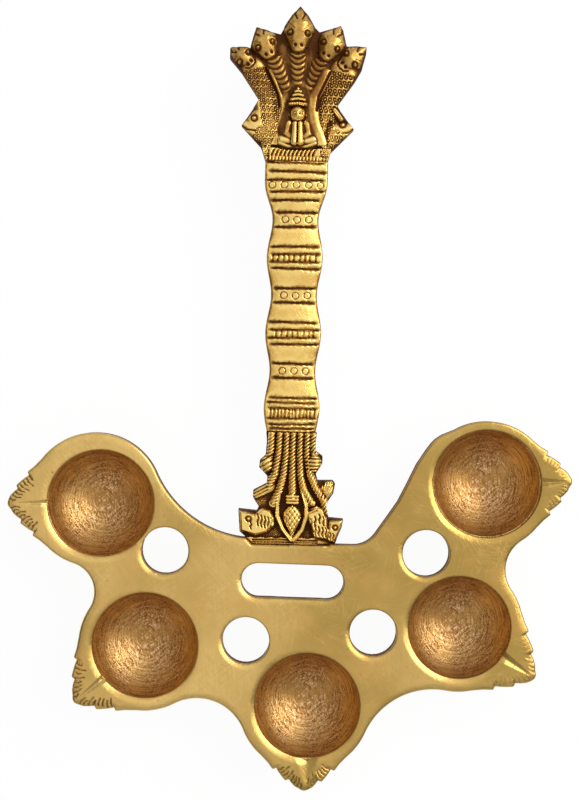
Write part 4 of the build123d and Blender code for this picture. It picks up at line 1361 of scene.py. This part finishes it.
# A head's width and its drop below the crest, by share of its length; its ends stop at fixed heights
HEAD_WIDTH_SHARES = (0.0, 0.03, 0.1, 0.22, 0.36, 0.48, 0.6, 0.8, 1.0)
HEAD_WIDTHS = (0.0, 0.36, 0.56, 0.68, 0.86, 0.98, 0.97, 0.62, 0.05)
HEAD_TOP_SHARES = (0.0, 0.06, 0.25, 0.45, 0.65, 1.0)
HEAD_DROPS = (2.0, 1.1, 0.0, 0.7)
SNOUT_HEIGHT = 4.6
TIP_HEIGHT = 4.4
HEAD_FOOT = 3.0
# Start and end of each inner neck
SCUTED_NECKS = (
    ((-9.0, 36.0), (-3.6, 24.4)),
    ((7.9, 35.6), (3.2, 24.4)),
    ((-0.4, 38.0), (-0.4, 24.6)),
)
SCUTE_PITCH = 1.95
SCUTE_BOW = 0.2
LEFT_SCALES = (
    (-19.8, 31.4), (-10.6, 33.4), (-6.8, 25.0), (-5.6, 17.0), (-7.6, 8.0), (-12.0, 5.4), (-13.8, 21.7),
)
RIGHT_SCALES = (
    (20.8, 30.0), (10.6, 32.4), (7.2, 24.7), (6.2, 17.6), (6.2, 12.5), (9.8, 6.0), (12.4, 5.0), (14.2, 20.0),
)
LEFT_BORDER = ((-10.2, 32.0), (-8.0, 27.5), (-6.0, 22.6), (-5.2, 19.0), (-6.6, 14.0), (-8.3, 7.0))
RIGHT_BORDER = ((9.8, 31.0), (7.4, 26.0), (5.6, 22.6), (5.0, 19.5), (6.2, 13.0), (8.6, 6.6))


def cobra_head(relief, snout, tip, half_width, crest):
    """Shapes one head: round snout, wide brow, pointed crown, with eyes, nostrils and mouth."""
    along, across, length = relief.local(snout, tip)
    share = along / length
    width = half_width * np.interp(share, HEAD_WIDTH_SHARES, HEAD_WIDTHS)
    tops = [SNOUT_HEIGHT, *(crest - drop for drop in HEAD_DROPS), TIP_HEIGHT]
    top = np.interp(share, HEAD_TOP_SHARES, tops)
    swell = np.clip(1 - np.abs(across / np.maximum(width, 1e-3)) ** 2.4, 0, 1) ** 0.6
    inside = (share > 0) & (share < 1) & (np.abs(across) < width)
    relief.rise_to(HEAD_FOOT + (top - HEAD_FOOT) * swell, inside, 0.2)
    way = (Vector(tip) - Vector(snout)).normalized()
    side_way = Vector((-way.y, way.x))

    def at(u, w):
        """Gives a place by its shares of the head's length and half width."""
        return tuple(Vector(snout) + way * (u * length) + side_way * (w * half_width))

    for side in (-1, 1):
        relief.bead(at(0.42, 0.54 * side), 0.62, 0.6)
        relief.pit(at(0.19, 0.2 * side), 0.5, 0.9)
        relief.groove([at(0.9, 0.22 * side), at(0.8, 0.3 * side), at(0.7, 0.16 * side)], 0.7, 0.6)
        relief.groove([at(0.62, 0.66 * side), at(0.5, 0.3 * side)], 0.45, 0.2)
    relief.groove([at(0.17, -0.56), at(0.07, -0.36), at(0.045, 0), at(0.07, 0.36), at(0.17, 0.56)], 0.5, 0.6)


def scuted_neck(relief, start, end):
    """Lays a neck with the curved belly plates below a head, between two low soft rails."""
    along, across, length = relief.local(start, end)
    share = np.clip(along / length, 0, 1)
    half_width = 3.2 - 1.3 * share
    within = (along > 0) & (along < length)
    on_neck = within & (np.abs(across) < half_width)
    swell = np.sqrt(np.clip(1 - (across / half_width) ** 2, 0, 1))
    plate = (along + SCUTE_BOW * across**2) / SCUTE_PITCH % 1
    bulge = np.sin(math.pi * plate) ** 0.7
    relief.rise_to(4.1 + 0.5 * swell + 0.8 * bulge * swell, on_neck, 0.15)
    edge = np.abs(np.abs(across) - half_width)
    relief.rise_to(4.4 - 0.9 * edge**2, within & (edge < 0.8))
    relief.darken(0.08 * on_neck)


def niche_distance(relief):
    """Gives the distance to the niche: a round seat that narrows to an arch over the crown."""
    along, across, length = relief.local((0, 11.5), (0, 23.2))
    share = np.clip(along / length, 0, 1)
    return np.hypot(across, along - share * length) - (7.2 - 3.6 * share)


def hood_flanks(relief):
    """Lays the outer necks and the small side heads, with punched scales."""
    relief.rib([(-16.6, 32.5), (-12.8, 23.0), (-9.8, 13.0), (-9.8, 5.0)], 5.6, 5.7, 2.6, 3.4)
    relief.rib([(15.6, 32.0), (11.8, 23.0), (9.6, 13.0), (10.0, 6.0)], 5.8, 5.7, 2.6, 3.4)
    relief.rib([(-12.5, 17.5), (-16.0, 13.6)], 3.0, 5.4, 2.8, 2.4)
    relief.rib([(-10.5, 11.5), (-18.2, 12.3)], 6.3, 5.7, 2.8, 2.9)
    relief.rib([(10.8, 9.6), (18.8, 11.9)], 5.4, 5.7, 2.6, 2.5)
    relief.scales(np.minimum(relief.polygon(LEFT_SCALES), relief.disc((-12.0, 8.6), 3.8)), 1.45, 0.5)
    relief.scales(np.minimum(relief.polygon(RIGHT_SCALES), relief.disc((12.8, 8.0), 3.6)), 1.7, 0.55)
    relief.bead((-15.4, 14.9), 0.7, 0.5)
    relief.bead((16.0, 13.4), 0.8, 0.5)
    relief.groove([(-19.6, 12.2), (-17.6, 10.9), (-15.2, 10.6)], 0.6, 0.6)
    relief.groove([(19.8, 11.8), (18.0, 10.4), (16.2, 10.2)], 0.6, 0.5)
    relief.rib([(12.9, 18.4), (15.4, 15.0)], 0.95, 6.2, 3.0)
    relief.groove([(13.1, 17.9), (15.1, 15.4)], 0.45, 0.6)
    relief.groove([(11.4, 14.0), (10.4, 10.0), (9.8, 6.8)], 2.0, 1.2)


def hood_niche(relief, niche):
    """Sinks the niche, and lays its raised border and the cracks beside it. Darkens the niche, and its floor
    left of the figure more as painted shadow of the figure.
    """
    relief.height = np.where(niche < 0, NICHE_FLOOR, relief.height)
    relief.rib(LEFT_BORDER, 0.6, 4.9, 4.2)
    relief.rib(RIGHT_BORDER, 2.2, 5.5, 4.2)
    relief.groove([(-11.8, 32.6), (-9.4, 28.0), (-7.2, 23.4), (-6.6, 19.0)], 0.7, 0.7)
    relief.groove([(11.2, 31.4), (9.2, 27.0), (7.3, 23.0), (6.7, 18.0)], 0.7, 1.0)
    # Painted shadow of the figure on the niche floor to its left
    painted_figure_shadow = smooth_step(-1.0, -4.0, relief.x)
    relief.darken((0.2 + 0.35 * painted_figure_shadow) * smooth_step(0.4, -0.4, niche))


def hood_band(relief):
    """Lays the band across the foot of the hood, of slanting strokes over a row of ticks."""
    relief.rise_to(5.3, (relief.y < 4.6) & (np.abs(relief.x) < 12.2), 0.5)
    band = np.maximum(np.abs(relief.x + 0.8) - 9.0, relief.y - 4.5)
    relief.rise_to(5.9, band < 0, 0.4)
    relief.rise_to(5.7, (relief.y < 1.6) & (np.abs(relief.x) < 11.0), 0.4)
    relief.scales(np.maximum(relief.y - 5.6, -band), 1.3, 0.4)
    relief.row_of_grooves([(-8.9, 2.0), (-8.0, 3.9)], (1.45, 0), 11, 0.7, 0.8)
    relief.row_of_grooves([(-10.2, 0.3), (-10.1, 1.25)], (1.2, 0), 18, 0.5, 0.5)
    relief.groove([(-10.5, 1.6), (10.5, 1.6)], 0.4, 0.3)
    relief.groove([(-9.0, 5.2), (-5.0, 4.5), (0, 4.4), (5.0, 4.5), (8.4, 5.0)], 0.9, 0.9)


def serpent_hood():
    """Casts the hood, a low fan that rises to the niche, darker towards the heads."""
    relief = Relief(*HOOD_BOX, HOOD_STEP, FAN_HEIGHT)
    outline = relief.polygon(HOOD_OUTLINE)
    niche = niche_distance(relief)
    relief.height = relief.height + FAN_CROWN * smooth_step(0.0, -5.0, outline)
    near_niche = np.exp(-((np.maximum(niche, 0) / 4.5) ** 2))
    relief.rise_to(FAN_HEIGHT + (NICHE_FLOOR - FAN_HEIGHT) * near_niche)
    hood_flanks(relief)
    for start, end in SCUTED_NECKS:
        scuted_neck(relief, start, end)
    for head in COBRA_HEADS:
        cobra_head(relief, *head)
    hood_niche(relief, niche)
    hood_band(relief)
    right_border = smooth_step(4.5, 5.5, relief.x) * smooth_step(9.6, 8.6, relief.x)
    relief.darken(0.16 * right_border * smooth_step(6.0, 8.0, relief.y))
    relief.darken(0.34 * smooth_step(12.0, 25.0, relief.y) + 0.06)
    socket = tenon(relief, -1, TENON_LENGTH, TENON_GAP)
    place = handle_place(FOOT_LENGTH + GRIP_LENGTH)
    cast_piece("cobra_hood", "serpent_hood", relief, outline, 0.0, HOOD_EDGE_ROUND, place, cut=[socket])


# Seated figure with joined hands and a calm, plain face

FIGURE_STEP = 0.12
FIGURE_BOX = ((-7.8, 3.4, -0.5), (7.8, 26.6, 4.8))
FIGURE_EDGE_ROUND = 0.2
FIGURE_GROUND = 0.2
FIGURE_HALF_OUTLINE = (
    (0.0, 4.0), (5.6, 4.4), (7.1, 5.4), (7.2, 7.4), (6.0, 9.2), (4.6, 9.6), (4.3, 12.6), (3.2, 13.9),
    (3.2, 18.6), (3.5, 19.0), (3.4, 21.1), (2.8, 21.4), (2.7, 23.2), (1.9, 23.5), (1.6, 25.0), (0.8, 25.9),
    (0.0, 26.0),
)
# Place, radius and crest of the crown's tiers
CROWN_TIERS = ((19.7, 3.6, 3.8), (21.3, 3.1, 3.6), (22.8, 2.5, 3.2), (24.2, 1.8, 2.7))
CROWN_RIB = 0.85
CROWN_INSET = 0.9
CROWN_BOW = 0.15


def figure_body(relief):
    """Lays the seat, the folded legs, the body, the arms and the joined hands."""
    relief.rib([(-6.4, 6.3), (-3.4, 5.2), (0, 4.9), (3.4, 5.2), (6.4, 6.3)], 0.85, 1.6, 0.0)
    for side in (-1, 1):
        relief.rib([(side * 1.2, 6.6), (side * 5.6, 7.5)], 1.3, 2.3, FIGURE_GROUND, 1.6)
    relief.dome((0, 10.8), 4.2, 3.6, 2.4, FIGURE_GROUND)
    for side in (-1, 1):
        relief.rib([(side * 3.3, 12.9), (side * 3.9, 9.6), (side * 1.5, 7.9)], 1.4, 2.4, 1.2)
        relief.rib([(side * 1.05, 6.4), (side * 0.9, 12.8)], 1.3, 3.6, 2.0, 1.0)
    relief.groove([(0, 6.2), (0, 12.8)], 0.45, 0.9)


def figure_head(relief):
    """Lays the face with brows, closed eyes, nose, mouth and ears."""
    relief.dome((0, 16.3), 2.8, 3.2, 3.8, FIGURE_GROUND)
    relief.rib([(0, 16.9), (0, 15.2)], 0.42, 4.0, 3.0, 0.5)
    for side in (-1, 1):
        relief.groove([(side * 0.6, 16.95), (side * 1.3, 17.15), (side * 2.0, 16.8)], 0.3, 0.25)
        relief.bead((side * 1.25, 16.3), 0.42, 0.3)
        relief.groove([(side * 0.6, 16.1), (side * 1.25, 15.9), (side * 1.9, 16.1)], 0.25, 0.3)
        relief.dome((side * 3.0, 16.0), 0.45, 0.9, 1.6, FIGURE_GROUND)
    relief.groove([(-0.7, 14.45), (0, 14.3), (0.7, 14.45)], 0.28, 0.3)


def figure_crown(relief):
    """Stacks the tiers of the crown, with a row of cuts in the lowest."""
    for place, radius, crest in CROWN_TIERS:
        reach = radius - CROWN_INSET
        tier = [(-reach, place - CROWN_BOW), (0, place + CROWN_BOW), (reach, place - CROWN_BOW)]
        relief.rib(tier, CROWN_RIB, crest, FIGURE_GROUND)
    relief.dome((0, 25.2), 0.8, 0.75, 1.9, FIGURE_GROUND)
    relief.row_of_grooves([(-2.55, 19.2), (-2.55, 20.2)], (0.85, 0), 7, 0.3, 0.25)


def seated_figure():
    """Casts the figure that sits on the niche's floor, with dark sleeves."""
    relief = Relief(*FIGURE_BOX, FIGURE_STEP, FIGURE_GROUND)
    left_half = [(-x, y) for x, y in FIGURE_HALF_OUTLINE[-2:0:-1]]
    outline = relief.polygon([*FIGURE_HALF_OUTLINE, *left_half])
    figure_body(relief)
    figure_head(relief)
    sleeves = smooth_step(7.6, 9.0, relief.y) * smooth_step(14.6, 13.4, relief.y)
    relief.darken(0.3 * sleeves * smooth_step(2.2, 3.0, np.abs(relief.x)))
    figure_crown(relief)
    place = handle_place(FOOT_LENGTH + GRIP_LENGTH) @ Matrix.Translation((0, 0, NICHE_FLOOR * MM))
    cast_piece("seated_figure_cast", "seated_figure", relief, outline, 0.0, FIGURE_EDGE_ROUND, place)


lamp_plate()
for lobe in LOBES:
    turned_bowl(lobe)
handle_foot()
handle_grip()
serpent_hood()
seated_figure()

# The hidden screws keep their solids, with a turned finish
screw_mesh = frame["nodes"]["handle_screws"].data
screw_mesh.materials.clear()
screw_mesh.materials.append(SCREW_BRASS)


# Camera and light

PHOTO_HEIGHT = 800
# Size of a pixel at the plate's top, in millimetres
PIXEL = 0.356
CAMERA_DISTANCE = 450.0
CAMERA_PLACE = (-0.8, -0.2)
CAMERA_ROLL = math.radians(1.19)
CLIP_START = 0.01
SENSOR_HEIGHT = 24.0
FLOOR_WHITE = 0.95
FLOOR_HALF = 12.0
FLOOR_GREY = (0.86, 0.86, 0.86, 1.0)
FLOOR_ROUGHNESS = 0.9
FLOOR_GLOW = (1.0, 1.0, 1.0, 1.0)
SURROUND = 0.12
SURROUND_ENDS = 0.85
SURROUND_REAR = 0.1
SURROUND_COLOUR = (0.95, 0.97, 1.0, 1.0)
# Place, aim and size in metres, power in watts, and colour
LIGHTS = {
    "window": ((0.95, 0.42, 0.76), (0.0, 0.0, 0.0), (1.3, 0.6), 15.0, (1.0, 0.97, 0.93)),
    "ceiling": ((0.0, 0.1, 1.3), (0.0, 0.1, 0.0), (2.4, 2.4), 16.6, (1.0, 0.98, 0.95)),
}


def camera():
    """Looks straight down at the lamp, as the photo does."""
    data = bpy.data.cameras.new("camera")
    data.sensor_fit = "VERTICAL"
    data.sensor_height = SENSOR_HEIGHT
    data.lens = SENSOR_HEIGHT * CAMERA_DISTANCE / (PIXEL * PHOTO_HEIGHT)
    data.dof.use_dof = False
    data.clip_start = CLIP_START
    made = bpy.data.objects.new("camera", data)
    made.location = (CAMERA_PLACE[0] * MM, CAMERA_PLACE[1] * MM, (PLATE_TOP + CAMERA_DISTANCE) * MM)
    made.rotation_euler = (0, 0, CAMERA_ROLL)
    bpy.context.scene.collection.objects.link(made)
    bpy.context.scene.camera = made


def area_light(name, place, aim, size, power, colour):
    """Hangs a rectangular lamp that faces its aim."""
    data = bpy.data.lights.new(name, "AREA")
    data.shape = "RECTANGLE"
    data.size, data.size_y = size
    data.energy = power
    data.color = colour
    made = bpy.data.objects.new(name, data)
    made.location = place
    made.rotation_euler = (Vector(aim) - Vector(place)).to_track_quat("-Z", "Y").to_euler()
    bpy.context.scene.collection.objects.link(made)


def floor():
    """A white floor that the camera and the metal see as white, with a faint shadow left on it."""
    mesh = bpy.data.meshes.new("floor")
    corners = [(x * FLOOR_HALF, y * FLOOR_HALF, 0) for x, y in ((-1, -1), (1, -1), (1, 1), (-1, 1))]
    mesh.from_pydata(corners, [], [(0, 1, 2, 3)])
    material = bpy.data.materials.new("white_floor")
    material.use_nodes = True
    tree = material.node_tree
    shader = tree.nodes["Principled BSDF"]
    set_inputs(shader, Base_Color=FLOOR_GREY, Roughness=FLOOR_ROUGHNESS)
    white = add_node(tree, "ShaderNodeEmission")
    white.inputs["Color"].default_value = FLOOR_GLOW
    seen = add_node(tree, "ShaderNodeLightPath")
    direct = math_node(tree, "MAXIMUM", seen.outputs["Is Camera Ray"], seen.outputs["Is Glossy Ray"])
    direct = math_node(tree, "MAXIMUM", direct, seen.outputs["Is Transmission Ray"])
    choice = add_node(tree, "ShaderNodeMixShader")
    tree.links.new(math_node(tree, "MULTIPLY", direct, FLOOR_WHITE), choice.inputs["Fac"])
    tree.links.new(shader.outputs["BSDF"], choice.inputs[1])
    tree.links.new(white.outputs["Emission"], choice.inputs[2])
    tree.links.new(choice.outputs["Shader"], tree.nodes["Material Output"].inputs["Surface"])
    mesh.materials.append(material)
    made = bpy.data.objects.new("floor", mesh)
    bpy.context.scene.collection.objects.link(made)


def world():
    """A plain studio, brighter towards the front and the rear than at the sides."""
    made = bpy.data.worlds.new("studio")
    bpy.context.scene.world = made
    made.use_nodes = True
    tree = made.node_tree
    coords = add_node(tree, "ShaderNodeTexCoord")
    ways = add_node(tree, "ShaderNodeSeparateXYZ")
    tree.links.new(coords.outputs["Generated"], ways.inputs["Vector"])
    end = ways.outputs["Y"]
    ends = scaled_sum(tree, (math_node(tree, "MULTIPLY", end, end), SURROUND_ENDS), (end, SURROUND_REAR))
    surround = tree.nodes["Background"]
    surround.inputs["Color"].default_value = SURROUND_COLOUR
    tree.links.new(math_node(tree, "ADD", ends, SURROUND), surround.inputs["Strength"])


camera()
floor()
world()
for name, light in LIGHTS.items():
    area_light(name, *light)

bpy.context.scene.view_settings.view_transform = "Standard"
